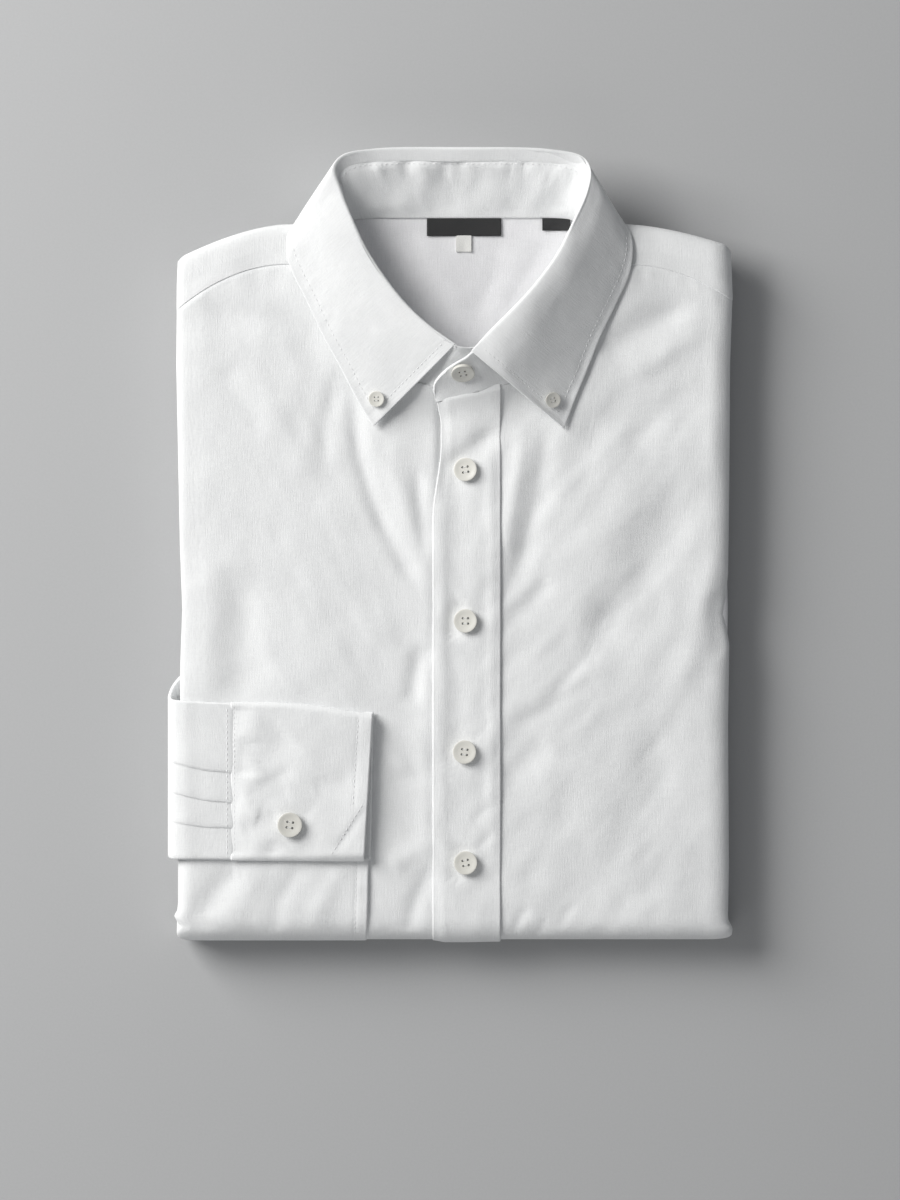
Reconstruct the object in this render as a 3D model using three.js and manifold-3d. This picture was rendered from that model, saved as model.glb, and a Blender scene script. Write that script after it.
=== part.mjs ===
// A button-down shirt, folded for a shelf and lying on its back. Millimetres, +Z up.
// X runs across the shirt, +X to the wearer's left. Y runs along it, towards the collar.
// The origin lies on the surface that the shirt rests on, under the middle of the fold.
//
// The body is folded in half behind itself at the bottom, so it is a hairpin of two slabs of cloth:
// the upper slab carries the fronts, the lower slab is the tail. Cloth that shows is a wall, and
// the layers that never show share the one solid "folded_layers".
import * as THREE from "three";
import { mergeVertices } from "three/addons/utils/BufferGeometryUtils.js";
import Module from "manifold-3d";

const wasm = await Module();
wasm.setup();

// ---------------------------------------------------------------- driving sizes
const CLOTH = 1.2; // one layer of pressed cloth with the air it holds
const INTERFACED = 1.5; // stiffened cloth: collar, stand, cuffs
const GAP = 0.3; // between pieces that meet at a seam
const BODY_WIDTH = 277; // side fold to side fold
const BODY_HEIGHT = 24.5; // floor to the top of the fronts
const BODY_BOTTOM = -197; // the bottom fold
const SHOULDER_Y = 160; // the shoulder fold, beside the collar
const SHOULDER_DROP = { right: 17, left: 11 }; // how far each shoulder slopes down to the side
const SHOULDER_FROM = 85; // where that slope starts, from the middle
const YOKE_SEAM_Y = 140; // yoke seam beside the collar
const YOKE_SEAM_DROP = { right: 23, left: 18 };
const TAIL_Y = 157; // end of the folded tail, under the shoulders
const NECK = { x: 4, y: 140, halfWidth: 64.4, depth: 66.2 }; // the cut neckline of the fronts
const NECK_FLOOR = 14.5; // height of the back's inner side in the neck

const SLAB = BODY_HEIGHT / 4; // half the thickness of one slab
const SIDE_ROLL = 12; // how far in from the side the top starts to round over
const SHOULDER_ROLL = 12;
const FOLD_REACH = 13; // the same at the bottom fold
const SIDE_FLAT = BODY_WIDTH / 2 - SIDE_ROLL;
const FOLD_AXIS_Y = BODY_BOTTOM + FOLD_REACH;
const ellipseMean = (p, q) => Math.sqrt((p * p + q * q) / 2);
const SIDE_ARC = ellipseMean(SIDE_ROLL, SLAB); // cloth used by one radian of each roll
const SHOULDER_ARC = ellipseMean(SHOULDER_ROLL, SLAB);
const FOLD_ARC = ellipseMean(FOLD_REACH, BODY_HEIGHT / 2);
const SIDE_TUCK = 2.25; // radians that the cloth goes round a side before it is hidden
const FOLD_TUCK = 2.6; // and round the bottom fold

// ---------------------------------------------------------------- small maths
const clamp = (x, low, high) => Math.min(high, Math.max(low, x));
const mix = (p, q, t) => p + (q - p) * t;
const smooth = (from, to, x) => {
  const t = clamp((x - from) / (to - from), 0, 1);
  return t * t * (3 - 2 * t);
};
const steps = (from, to, count) =>
  Array.from({ length: count + 1 }, (_, i) => mix(from, to, i / count));
const sideOf = (x) => (x < 0 ? "right" : "left"); // the wearer's side

// ---------------------------------------------------------------- the folds in the cloth
// Each row is one fold: its two ends, its half width, and its height, a trough where negative.
const FOLDS = [
  // x1, y1, x2, y2, halfWidth, height
  [-128, 121, -75, 106, 7, -0.9], // under the right yoke seam
  [-62, 76, -63, 34, 6.5, -0.6], // under the right collar leaf
  [-46, 52, -14, -28, 6.5, -1.5], // from the right collar point to the placket
  [-29, 52, -14, -14, 6.5, 1.0],
  [-106, -18, -108, -80, 10, -1.4], // along the right side
  [-14, -50, -22, -78, 6.5, -1.1], // beside the placket, above the cuff
  [-12, -160, -26, -192, 6.5, -1.1],
  [48, 60, 41, 7, 6.5, -1.4], // from the left collar point to the placket
  [41, 7, 27, -34, 6.5, -1.3],
  [76, 108, 120, 131, 8, 1.1], // under the left yoke seam
  [75, 98, 122, 122, 7, -0.9],
  [88, 50, 120, 76, 9, -0.8],
  [123, 12, 99, -28, 10, -1.7], // the long fold across the left front
  [99, -28, 70, -65, 9, -1.3],
  [92, 22, 57, -38, 14, 0.9],
  [132, -8, 112, -73, 8, 1.0],
  [56, -18, 28, -42, 7, -0.9], // from the left front into the placket
  [74, -66, 28, -90, 6.5, -0.5],
  [48, -99, 25, -120, 7, -0.9],
  [61, -132, 34, -172, 7, -1.0],
  [106, -78, 97, -153, 16, -1.0], // the broad hollow low on the left front
  [97, -153, 104, -178, 14, -0.6],
];
const COLLAR_SHADE = { x: 4, y: 130, reachX: 96, reachY: 78 }; // where the collar presses the cloth flat
const CUFF_SHADE = { x: -95, y: -134, reachX: 66, reachY: 66 }; // and the folded sleeve

// How far the cloth stands above the smooth body at a place in plan.
function relief(x, y) {
  let height = 0;
  for (const [x1, y1, x2, y2, halfWidth, rise] of FOLDS) {
    const length = Math.hypot(x2 - x1, y2 - y1);
    const along = ((x - x1) * (x2 - x1) + (y - y1) * (y2 - y1)) / length;
    const across = ((x - x1) * (y2 - y1) - (y - y1) * (x2 - x1)) / length;
    const past = Math.max(0, -along, along - length) / (1.6 * halfWidth);
    height += rise * Math.exp(-((across / halfWidth) ** 2) - past * past);
  }
  const flat = ({ x: cx, y: cy, reachX, reachY }) =>
    smooth(0.72, 1.3, Math.hypot((x - cx) / reachX, (y - cy) / reachY));
  return clamp(height, -1.9, 1.6) * flat(COLLAR_SHADE) * flat(CUFF_SHADE);
}

// ---------------------------------------------------------------- the folded body's outer face
const slopePast = (x, from) =>
  clamp((Math.abs(x) - from) / (BODY_WIDTH / 2 - from), 0, 1);
const shoulderY = (x) =>
  SHOULDER_Y - SHOULDER_DROP[sideOf(x)] * slopePast(x, SHOULDER_FROM) ** 1.6;
const yokeSeamY = (x) =>
  YOKE_SEAM_Y - YOKE_SEAM_DROP[sideOf(x)] * slopePast(x, SHOULDER_FROM) ** 2;

// The fronts' upper edge: the neckline near the middle, then the yoke seam.
function frontTopY(x) {
  const out = (x - NECK.x) / NECK.halfWidth;
  const neckline =
    Math.abs(out) < 1
      ? NECK.y - NECK.depth * Math.sqrt(1 - out * out)
      : YOKE_SEAM_Y;
  return Math.min(neckline, yokeSeamY(x));
}

// A point of the body's outer face from its place on the flat cloth: across it and along it.
// Past the flat part the cloth rolls over the sides, over the shoulders and round the bottom fold.
function bodyPoint(across, along) {
  const phi = Math.max(0, Math.abs(across) - SIDE_FLAT) / SIDE_ARC;
  const x =
    Math.sign(across) *
    (Math.min(Math.abs(across), SIDE_FLAT) + SIDE_ROLL * Math.sin(phi));
  const shoulderStart = shoulderY(x) - SHOULDER_ROLL;
  const psi = Math.max(0, along - shoulderStart) / SHOULDER_ARC;
  const theta = Math.max(0, FOLD_AXIS_Y - along) / FOLD_ARC;
  const squareness = 1 - 0.5 * Math.sin(Math.min(theta, Math.PI / 2));
  const sideways =
    Math.sign(Math.cos(phi)) * Math.abs(Math.cos(phi)) ** squareness;
  const over = Math.cos(psi);
  const rise =
    sideways < 0 && over < 0 ? -sideways * over : sideways * over;
  const radial = SLAB * (1 + rise);
  let y = along;
  if (psi > 0) y = shoulderStart + SHOULDER_ROLL * Math.sin(psi);
  if (theta > 0)
    y =
      FOLD_AXIS_Y - (FOLD_REACH / (BODY_HEIGHT / 2)) * radial * Math.sin(theta);
  const onTop =
    Math.max(0, Math.cos(phi)) ** 2 *
    Math.max(0, over) ** 2 *
    Math.max(0, Math.cos(theta)) ** 2;
  const z =
    BODY_HEIGHT / 2 + radial * Math.cos(theta) + relief(x, along) * onTop;
  return new THREE.Vector3(x, y, z);
}

// ---------------------------------------------------------------- building solids
// A face's unit normal at (u, v), from its own slopes.
function normalAt(face, u, v) {
  const e = 1e-3;
  const du = face(u + e, v).sub(face(u - e, v));
  const dv = face(u, v + e).sub(face(u, v - e));
  return du.cross(dv).normalize();
}

// The same face moved out along its normal.
const lifted = (face, height) => (u, v) =>
  face(u, v).addScaledVector(normalAt(face, u, v), height);

function geometryOf(points, triangles) {
  const geometry = new THREE.BufferGeometry();
  geometry.setAttribute(
    "position",
    new THREE.Float32BufferAttribute(
      points.flatMap((p) => [p.x, p.y, p.z]),
      3,
    ),
  );
  let volume = 0;
  for (const [i, j, k] of triangles)
    volume += points[i].dot(points[j].clone().cross(points[k]));
  const outward =
    volume < 0 ? triangles.map(([i, j, k]) => [i, k, j]) : triangles;
  geometry.setIndex(outward.flat());
  geometry.computeVertexNormals();
  return geometry;
}

// A wall of cloth. face(u, v) is its outer face, and its inner face lies a thickness behind it.
function clothWall(face, us, vs, thickness) {
  const rows = us.length;
  const columns = vs.length;
  const outer = us.flatMap((u) => vs.map((v) => face(u, v)));
  const inner = us.flatMap((u) =>
    vs.map((v) =>
      face(u, v).addScaledVector(normalAt(face, u, v), -thickness),
    ),
  );
  const points = [...outer, ...inner];
  const back = outer.length;
  const at = (i, j) => i * columns + j;
  const triangles = [];
  const quad = (p, q, r, s) => triangles.push([p, q, r], [p, r, s]);
  for (let i = 0; i < rows - 1; i++)
    for (let j = 0; j < columns - 1; j++) {
      // Each patch is split along the diagonal that lies closer to the true face.
      const corners = [at(i, j), at(i + 1, j), at(i + 1, j + 1), at(i, j + 1)];
      const middle = face((us[i] + us[i + 1]) / 2, (vs[j] + vs[j + 1]) / 2);
      const miss = (m, n) =>
        outer[m].clone().lerp(outer[n], 0.5).distanceTo(middle);
      if (miss(corners[1], corners[3]) < miss(corners[0], corners[2]))
        corners.push(corners.shift());
      quad(...corners);
      quad(...corners.reverse().map((corner) => back + corner));
    }
  const rim = (p, q) => quad(p, back + p, back + q, q);
  for (let i = 0; i < rows - 1; i++) {
    rim(at(i, 0), at(i + 1, 0));
    rim(at(i + 1, columns - 1), at(i, columns - 1));
  }
  for (let j = 0; j < columns - 1; j++) {
    rim(at(0, j + 1), at(0, j));
    rim(at(rows - 1, j), at(rows - 1, j + 1));
  }
  return geometryOf(points, triangles);
}

// A solid through closed rings of equal length, closed at each end by a fan.
function ringSolid(rings) {
  const size = rings[0].length;
  const points = rings.flat();
  const triangles = [];
  for (let k = 0; k < rings.length - 1; k++)
    for (let i = 0; i < size; i++) {
      const j = (i + 1) % size;
      const [p, q] = [k * size + i, k * size + j];
      triangles.push([p, q, q + size], [p, q + size, p + size]);
    }
  const cap = (ring, first, flip) => {
    const middle = new THREE.Vector3();
    for (const p of ring) middle.addScaledVector(p, 1 / size);
    const centre = points.push(middle) - 1;
    for (let i = 0; i < size; i++) {
      const [p, q] = [first + i, first + ((i + 1) % size)];
      triangles.push(flip ? [p, q, centre] : [q, p, centre]);
    }
  };
  cap(rings[0], 0, false);
  cap(rings.at(-1), (rings.length - 1) * size, true);
  return geometryOf(points, triangles);
}

// A tube through rings: its outer rings and its inner rings, joined at both open ends.
function tubeSolid(outer, inner) {
  const size = outer[0].length;
  const points = [...outer.flat(), ...inner.flat()];
  const back = outer.length * size;
  const triangles = [];
  const quad = (p, q, r, s) => triangles.push([p, q, r], [p, r, s]);
  for (let i = 0; i < size; i++) {
    const j = (i + 1) % size;
    for (let k = 0; k < outer.length - 1; k++) {
      const [p, q, n] = [k * size + i, k * size + j, size];
      quad(p, q, q + n, p + n);
      quad(back + p, back + p + n, back + q + n, back + q);
    }
    const last = (outer.length - 1) * size;
    quad(i, back + i, back + j, j);
    quad(last + i, last + j, back + last + j, back + last + i);
  }
  return geometryOf(points, triangles);
}

const toSolid = (geometry) => {
  const bare = geometry.clone();
  bare.deleteAttribute("normal");
  if (bare.getAttribute("uv")) bare.deleteAttribute("uv");
  const merged = mergeVertices(bare, 1e-4);
  return new wasm.Manifold(
    new wasm.Mesh({
      numProp: 3,
      vertProperties: merged.getAttribute("position").array,
      triVerts: new Uint32Array(merged.index.array),
    }),
  );
};

const fromSolid = (solid) => {
  const { vertProperties, triVerts } = solid.getMesh();
  const geometry = new THREE.BufferGeometry();
  geometry.setAttribute(
    "position",
    new THREE.Float32BufferAttribute(vertProperties, 3),
  );
  geometry.setIndex([...triVerts]);
  geometry.computeVertexNormals();
  return geometry;
};

// ---------------------------------------------------------------- materials
const finish = (colour, roughness) =>
  new THREE.MeshStandardMaterial({ color: colour, roughness, metalness: 0 });
const LINEN = finish(0xf1f1ef, 0.9);
const INNER_LINEN = finish(0xe6e6e6, 0.9);
const BUTTON = finish(0xe4e1d8, 0.35);
const DARK_TAPE = finish(0x17181a, 0.8);
const PALE_TAPE = finish(0xf4f3ee, 0.8);

const shirt = new THREE.Group();
function add(name, geometry, material) {
  const mesh = new THREE.Mesh(geometry, material);
  mesh.name = name;
  shirt.add(mesh);
  return mesh;
}

// ---------------------------------------------------------------- hidden layers
// Back, tail and sleeves inside the fold. Rings at rising heights; the two slabs bulge at the
// sides with a groove between them, and the tail's hems step back at the shoulder end.
const COVER = CLOTH + 4 * GAP; // what the fronts and the yoke take up over this solid
const LAYER_GROOVE = 1.1; // depth of the line between two pressed layers
const CORE_TOP = BODY_HEIGHT - CLOTH - 2.3; // clear below the deepest trough of the fronts
const HEM_STEP = 2.6; // each hem of the tail lies this much further back

function coreHalfWidth(y, z) {
  const middle = BODY_HEIGHT / 2;
  const pastAxis =
    (Math.max(0, FOLD_AXIS_Y - y) * middle) / FOLD_REACH;
  const radius = Math.hypot(z - middle, pastAxis);
  const half = z < middle && y > FOLD_AXIS_Y ? SLAB : SLAB - COVER;
  const off = clamp((radius - SLAB) / half, -1, 1);
  const squareness = y < FOLD_AXIS_Y ? 0.5 : 1;
  const bulge = (1 - off * off) ** (0.5 * squareness);
  const reach = SIDE_ROLL - COVER;
  const line =
    z < middle ? LAYER_GROOVE * Math.exp(-(((z - SLAB) / 0.8) ** 2)) : 0;
  return SIDE_FLAT + reach * bulge - line;
}

function coreBottomY(z) {
  const radius = BODY_HEIGHT / 2 - (z > 1.4 ? COVER : 0);
  const off = clamp((z - BODY_HEIGHT / 2) / radius, -1, 1);
  const reach = FOLD_REACH * (radius / (BODY_HEIGHT / 2));
  return FOLD_AXIS_Y - reach * Math.sqrt(1 - off * off);
}

function coreTopY(x, z) {
  const middle = BODY_HEIGHT / 2;
  if (z < middle) {
    const hem = Math.floor((z / middle) * 3);
    const inHem = (z / middle) * 3 - hem;
    const rounded = 1.4 * (2 * inHem - 1) ** 4;
    return Math.min(TAIL_Y, shoulderY(x) - 4) - HEM_STEP * hem - rounded;
  }
  const off = clamp((z - middle - SLAB) / (SLAB - COVER), -1, 1);
  const reach = SHOULDER_ROLL - COVER;
  return (
    shoulderY(x) - SHOULDER_ROLL + reach * Math.sqrt(1 - off * off)
  );
}

function coreRing(z) {
  const bottom = coreBottomY(z);
  const right = [];
  for (const t of steps(0, 1, 4).slice(0, -1)) {
    const y = mix(bottom, FOLD_AXIS_Y, Math.sin((t * Math.PI) / 2) ** 2);
    right.push([coreHalfWidth(y, z), y]);
  }
  const sideTop = coreTopY(BODY_WIDTH / 2, z) - 3;
  for (const y of steps(FOLD_AXIS_Y, sideTop, 6))
    right.push([coreHalfWidth(y, z), y]);
  const left = [];
  const leftTop = coreTopY(-BODY_WIDTH / 2, z) - 3;
  for (const t of steps(0, 1, 4).slice(0, -1)) {
    const y = mix(bottom, FOLD_AXIS_Y, Math.sin((t * Math.PI) / 2) ** 2);
    left.push([-coreHalfWidth(y, z), y]);
  }
  for (const y of steps(FOLD_AXIS_Y, leftTop, 6))
    left.push([-coreHalfWidth(y, z), y]);
  const width = coreHalfWidth(0, z);
  const shoulder = steps(width - 3, 3 - width, 12).map((x) => [
    x,
    coreTopY(x, z),
  ]);
  const base = steps(-SIDE_FLAT, SIDE_FLAT, 6)
    .slice(1, -1)
    .map((x) => [x, bottom]);
  return [...right, ...shoulder, ...left.reverse(), ...base].map(
    ([x, y]) => new THREE.Vector3(x, y, z),
  );
}

const third = BODY_HEIGHT / 6;
const CORE_LEVELS = [
  0,
  0.5,
  1.2,
  COVER + 1.1,
  third - 0.3,
  third + 0.3,
  SLAB,
  SLAB + 1,
  2 * third - 0.3,
  2 * third + 0.3,
  ...steps(BODY_HEIGHT / 2 - 1.6, BODY_HEIGHT / 2 + COVER, 3),
  ...steps(BODY_HEIGHT / 2 + COVER + 1.2, CORE_TOP, 5),
];
const layers = ringSolid(CORE_LEVELS.map(coreRing));

// The neck is cut out of the upper slab, as far as the shoulder fold.
const neckCut = new THREE.Shape();
neckCut.moveTo(NECK.x + NECK.halfWidth + 1, SHOULDER_Y + 20);
neckCut.lineTo(NECK.x - NECK.halfWidth - 1, SHOULDER_Y + 20);
neckCut.lineTo(NECK.x - NECK.halfWidth - 1, NECK.y);
neckCut.absellipse(
  NECK.x,
  NECK.y,
  NECK.halfWidth + 1,
  NECK.depth - 5,
  Math.PI,
  2 * Math.PI,
  false,
);
const NECK_CUT_Z = NECK_FLOOR - CLOTH - 2 * GAP;
const neckWell = new THREE.ExtrudeGeometry(neckCut, {
  depth: BODY_HEIGHT,
  bevelEnabled: false,
  curveSegments: 14,
});
neckWell.translate(0, 0, NECK_CUT_Z);
add(
  "folded_layers",
  fromSolid(toSolid(layers).subtract(toSolid(neckWell))),
  INNER_LINEN,
);

// ---------------------------------------------------------------- fronts and yoke
const FRONT_MIDDLE = 4.5; // the two fronts meet here, under the placket
const SIDE_EDGE = SIDE_FLAT + SIDE_ARC * SIDE_TUCK;
const BOTTOM_EDGE = FOLD_AXIS_Y - FOLD_ARC * FOLD_TUCK;
const SHOULDER_EDGE = SHOULDER_ARC * 1.9;
const YOKE_SIDE_EDGE = SIDE_FLAT + SIDE_ARC * 1.75;

// A panel's face over the body: u is the cloth coordinate across, v runs from its lower to its upper edge.
const panelFace = (lowerY, upperY) => (u, v) => {
  const x = clamp(u, -BODY_WIDTH / 2, BODY_WIDTH / 2);
  return bodyPoint(u, mix(lowerY(x), upperY(x), v));
};
const frontFace = panelFace(
  () => BOTTOM_EDGE,
  (x) => frontTopY(x) - GAP,
);
const frontLength = NECK.y - BOTTOM_EDGE;
const foldShare = (FOLD_AXIS_Y - BOTTOM_EDGE) / frontLength;
const ALONG_FRONT = [
  ...steps(0, foldShare * 1.1, 7).slice(0, -1),
  ...steps(foldShare * 1.1, 1, 26),
];
for (const side of [-1, 1]) {
  const across = [
    ...steps(FRONT_MIDDLE + side * GAP, FRONT_MIDDLE + side * 20, 4).slice(0, -1),
    ...steps(FRONT_MIDDLE + side * 20, side * SIDE_FLAT, 12).slice(0, -1),
    ...steps(side * SIDE_FLAT, side * SIDE_EDGE, 6),
  ];
  const name = side < 0 ? "front_right" : "front_left";
  add(name, clothWall(frontFace, across, ALONG_FRONT, CLOTH), LINEN);
}

const yokeFace = panelFace(
  (x) => yokeSeamY(x) + GAP,
  (x) => shoulderY(x) - SHOULDER_ROLL + SHOULDER_EDGE,
);
for (const side of [-1, 1]) {
  const inner = NECK.x + side * (NECK.halfWidth + 0.5);
  const across = [
    ...steps(inner, side * SIDE_FLAT, 7).slice(0, -1),
    ...steps(side * SIDE_FLAT, side * YOKE_SIDE_EDGE, 5),
  ];
  const name = side < 0 ? "yoke_right" : "yoke_left";
  add(name, clothWall(yokeFace, across, steps(0, 1, 9), CLOTH), LINEN);
}

// The inner side of the back and yoke, which shows in the neck.
const BACK_NECK_Y = 161.4; // just inside the seam of the stand
const neckFloor = (x, y) => {
  const sag = Math.cos((x - NECK.x) / 30) * Math.sin((BACK_NECK_Y - y) / 27);
  return new THREE.Vector3(x, y, NECK_FLOOR - 0.5 * sag);
};
const backInside = (u, v) => {
  const front = NECK.y - (NECK.depth - 8) * Math.sqrt(1 - 0.96 * u * u);
  const halfWidth = NECK.halfWidth - 4 - 6 * v * v;
  return neckFloor(NECK.x + halfWidth * u, mix(front, BACK_NECK_Y, v));
};
add(
  "back_inside",
  clothWall(backInside, steps(-1, 1, 12), steps(0, 1, 6), CLOTH),
  INNER_LINEN,
);

// ---------------------------------------------------------------- placket
const PLACKET_GAP = 0.8; // the folds of the front pass freely under it
const PLACKET = { from: -11.7, to: 22.3, top: 77, slant: 6.2, notch: 4 };
const placketFace = lifted((u, v) => {
  // The free edge swings in a little below the stand and back out.
  const top = PLACKET.top - PLACKET.slant * (1 - u);
  const along = mix(BOTTOM_EDGE, top, v);
  const swing = PLACKET.notch * Math.exp(-(((along - 48) / 16) ** 2));
  const across = mix(PLACKET.from + swing, PLACKET.to, u);
  return bodyPoint(across, along);
}, CLOTH + PLACKET_GAP);
const ALONG_PLACKET = [
  ...steps(0, foldShare * 1.1, 6).slice(0, -1),
  ...steps(foldShare * 1.1, 1, 30),
];
add(
  "placket",
  clothWall(placketFace, steps(0, 1, 4), ALONG_PLACKET, CLOTH),
  LINEN,
);

// ---------------------------------------------------------------- collar
// Stations round the collar, from the end of the right leaf, round the back, to the end of the left
// leaf. At each: the roll line, the neck seam under it, and the leaf's outer edge.
const COLLAR = [
  { roll: [1, 98.7, 41], seam: [-7, 77.3, 23.9], edge: [-41.3, 58.6, 28] },
  { roll: [-12, 107.9, 42], seam: [-21, 81.8, 23.9], edge: [-50, 73, 28] },
  { roll: [-22.9, 117.7, 42.6], seam: [-35, 90.5, 23.9], edge: [-58, 88.4, 27.8] },
  { roll: [-33.8, 130.7, 43], seam: [-46, 101.6, 23.9], edge: [-66.5, 104, 27.6] },
  { roll: [-44.6, 147, 43], seam: [-53.5, 116, 23.7], edge: [-75, 122, 27.4] },
  { roll: [-52.2, 163.2, 42.3], seam: [-57, 134, 22.5], edge: [-82.5, 137.2, 27.2] },
  { roll: [-57.6, 177, 41], seam: [-57.5, 150, 18.5], edge: [-85, 147, 27] },
  { roll: [-60.5, 187.5, 39], seam: [-55, 160, 15.2], edge: [-83.8, 156, 25] },
  { roll: [-56.5, 193.8, 37], seam: [-46, 163.6, 14.4], edge: [-73, 165, 13] },
  { roll: [-41, 197.2, 35.5], seam: [-32, 163.8, 14.4], edge: [-54, 171, 3.4] },
  { roll: [2, 198, 35], seam: [2, 163.8, 14.4], edge: [2, 173.5, 1.8] },
  { roll: [47, 197, 35.5], seam: [38, 163.8, 14.4], edge: [60, 171, 3.4] },
  { roll: [62.3, 193.5, 37], seam: [52, 163.6, 14.4], edge: [79, 165, 13] },
  { roll: [66.4, 187, 39], seam: [61, 160, 15.2], edge: [87.3, 156, 25] },
  { roll: [65, 176, 41], seam: [64.5, 150, 18.5], edge: [88.5, 147, 27] },
  { roll: [58.6, 161, 42.3], seam: [64, 134, 22.5], edge: [86.8, 135, 27.2] },
  { roll: [49.5, 143.5, 43], seam: [61, 116, 23.7], edge: [80, 119.5, 27.4] },
  { roll: [38.4, 128.5, 43], seam: [54, 101.6, 23.9], edge: [72.5, 104, 27.6] },
  { roll: [27, 116.3, 42.6], seam: [43, 90.2, 23.9], edge: [65.5, 86.5, 27.8] },
  { roll: [16.5, 105.8, 42], seam: [29, 81.6, 24.6], edge: [59.3, 71.5, 28] },
  { roll: [8, 97.5, 41], seam: [16, 78.4, 27.2], edge: [54.1, 57.5, 28] },
];
const curveOf = (stations, key) =>
  new THREE.CatmullRomCurve3(
    stations.map((s) => new THREE.Vector3(...s[key])),
    false,
    "centripetal",
  );

const ROLL_RADIUS = 2.6; // of the leaf's outer face where it turns over
const LEAF_INSIDE = 6; // of the leaf that shows inside the collar, above the stand
const LEAF_BULGE = 2.4; // how far the leaf bows out between roll and edge
const lineAt = (curve, u) => curve.getPoint(clamp(u, 0, 1));
const rollLine = curveOf(COLLAR, "roll");
const seamLine = curveOf(COLLAR, "seam");
const edgeLine = curveOf(COLLAR, "edge");

// The leaf's section: up the inside, over the roll, and down to the edge.
function leafFace(u, v) {
  const roll = lineAt(rollLine, u);
  const inside = lineAt(seamLine, u).sub(roll).normalize();
  const edge = lineAt(edgeLine, u);
  const outside = edge.clone().sub(roll).normalize();
  const down = inside.clone().add(outside).normalize();
  const centre = roll.clone().addScaledVector(down, ROLL_RADIUS);
  const across = outside
    .clone()
    .addScaledVector(down, -outside.dot(down))
    .normalize();
  const spread = Math.acos(clamp(outside.dot(down), -1, 1));
  const turn = Math.PI / 2 - spread; // from the apex to where the face runs straight
  const arc = (angle) =>
    centre
      .clone()
      .addScaledVector(down, -ROLL_RADIUS * Math.cos(angle))
      .addScaledVector(across, ROLL_RADIUS * Math.sin(angle));
  if (v < 0.15)
    return arc(-turn).addScaledVector(inside, LEAF_INSIDE * (1 - v / 0.15));
  if (v < 0.4) return arc(mix(-turn, turn, (v - 0.15) / 0.25));
  const t = (v - 0.4) / 0.6;
  const start = arc(turn);
  const bow = LEAF_BULGE * Math.sin(Math.PI * Math.min(1, t)) * smooth(0, 0.2, t);
  return start.lerp(edge, t).addScaledVector(across, bow * 0.5).add(
    new THREE.Vector3(0, 0, bow),
  );
}
const LEAF_ACROSS = [0, 0.145, ...steps(0.16, 0.39, 4), 0.41, ...steps(0.52, 1, 4)];
add(
  "collar_leaf",
  clothWall(leafFace, steps(0, 1, 46), LEAF_ACROSS, INTERFACED),
  LINEN,
);

// The stand runs from the neck seam up to the leaf. Its right end lies under, its left end over.
const STAND_GAP = 0.6;
function standTop(u) {
  const leafFoot = leafFace(u, 0);
  const down = lineAt(seamLine, u).sub(leafFoot).normalize();
  return leafFoot.addScaledVector(down, STAND_GAP);
}
const STAND_RING = steps(0, 1, 40).map((u) => ({
  seam: lineAt(seamLine, u).toArray(),
  top: standTop(u).toArray(),
}));
const UNDER_END = [
  { seam: [9, 78.4, 23.9], top: [9.6, 90, 32] },
  { seam: [1, 77.4, 23.9], top: [3.4, 92, 34] },
];
const OVER_END = [
  { seam: [10.5, 76.8, 27.6], top: [8, 89.6, 34.3] },
  { seam: [4.5, 75, 27.8], top: [3.4, 91.2, 35.6] },
  { seam: [-2, 73.2, 27.8], top: [-2.6, 88.9, 34.9] },
  { seam: [-7.4, 71.9, 27.8], top: [-8, 85.2, 33.4] },
  { seam: [-10.4, 71.6, 27.9], top: [-11, 80.6, 31.4] },
];
const STAND = [...UNDER_END, ...STAND_RING, ...OVER_END];
const standSeam = curveOf(STAND, "seam");
const standUpper = curveOf(STAND, "top");
const standFace = (u, v) =>
  lineAt(standSeam, u).lerp(lineAt(standUpper, u), v);
add(
  "collar_stand",
  clothWall(standFace, steps(0, 1, 60), steps(0, 1, 2), INTERFACED),
  LINEN,
);

// ---------------------------------------------------------------- the other cuff, underneath
// It lies on the right front and goes round the bottom fold and the side with it.
const UNDER_CUFF = { edge: -43.4, edgeSlope: 0.03, top: -84 };
const UNDER_CUFF_LIFT = INTERFACED + 0.8;
const underCuffFace = lifted((u, v) => {
  const along = mix(BOTTOM_EDGE + 6, UNDER_CUFF.top, v);
  const edge = UNDER_CUFF.edge + UNDER_CUFF.edgeSlope * (along + 160);
  return bodyPoint(mix(-SIDE_EDGE + 6, edge, u), along);
}, UNDER_CUFF_LIFT);
const underCuffSpan = SIDE_EDGE - 6 + UNDER_CUFF.edge;
const underCuffSide = (SIDE_EDGE - 6 - SIDE_FLAT) / underCuffSpan;
const underCuffFold =
  (FOLD_AXIS_Y - BOTTOM_EDGE - 6) / (UNDER_CUFF.top - BOTTOM_EDGE - 6);
add(
  "under_cuff",
  clothWall(
    underCuffFace,
    [...steps(0, underCuffSide, 4).slice(0, -1), ...steps(underCuffSide, 1, 7)],
    [...steps(0, underCuffFold, 6).slice(0, -1), ...steps(underCuffFold, 1, 6)],
    INTERFACED,
  ),
  LINEN,
);

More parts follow.
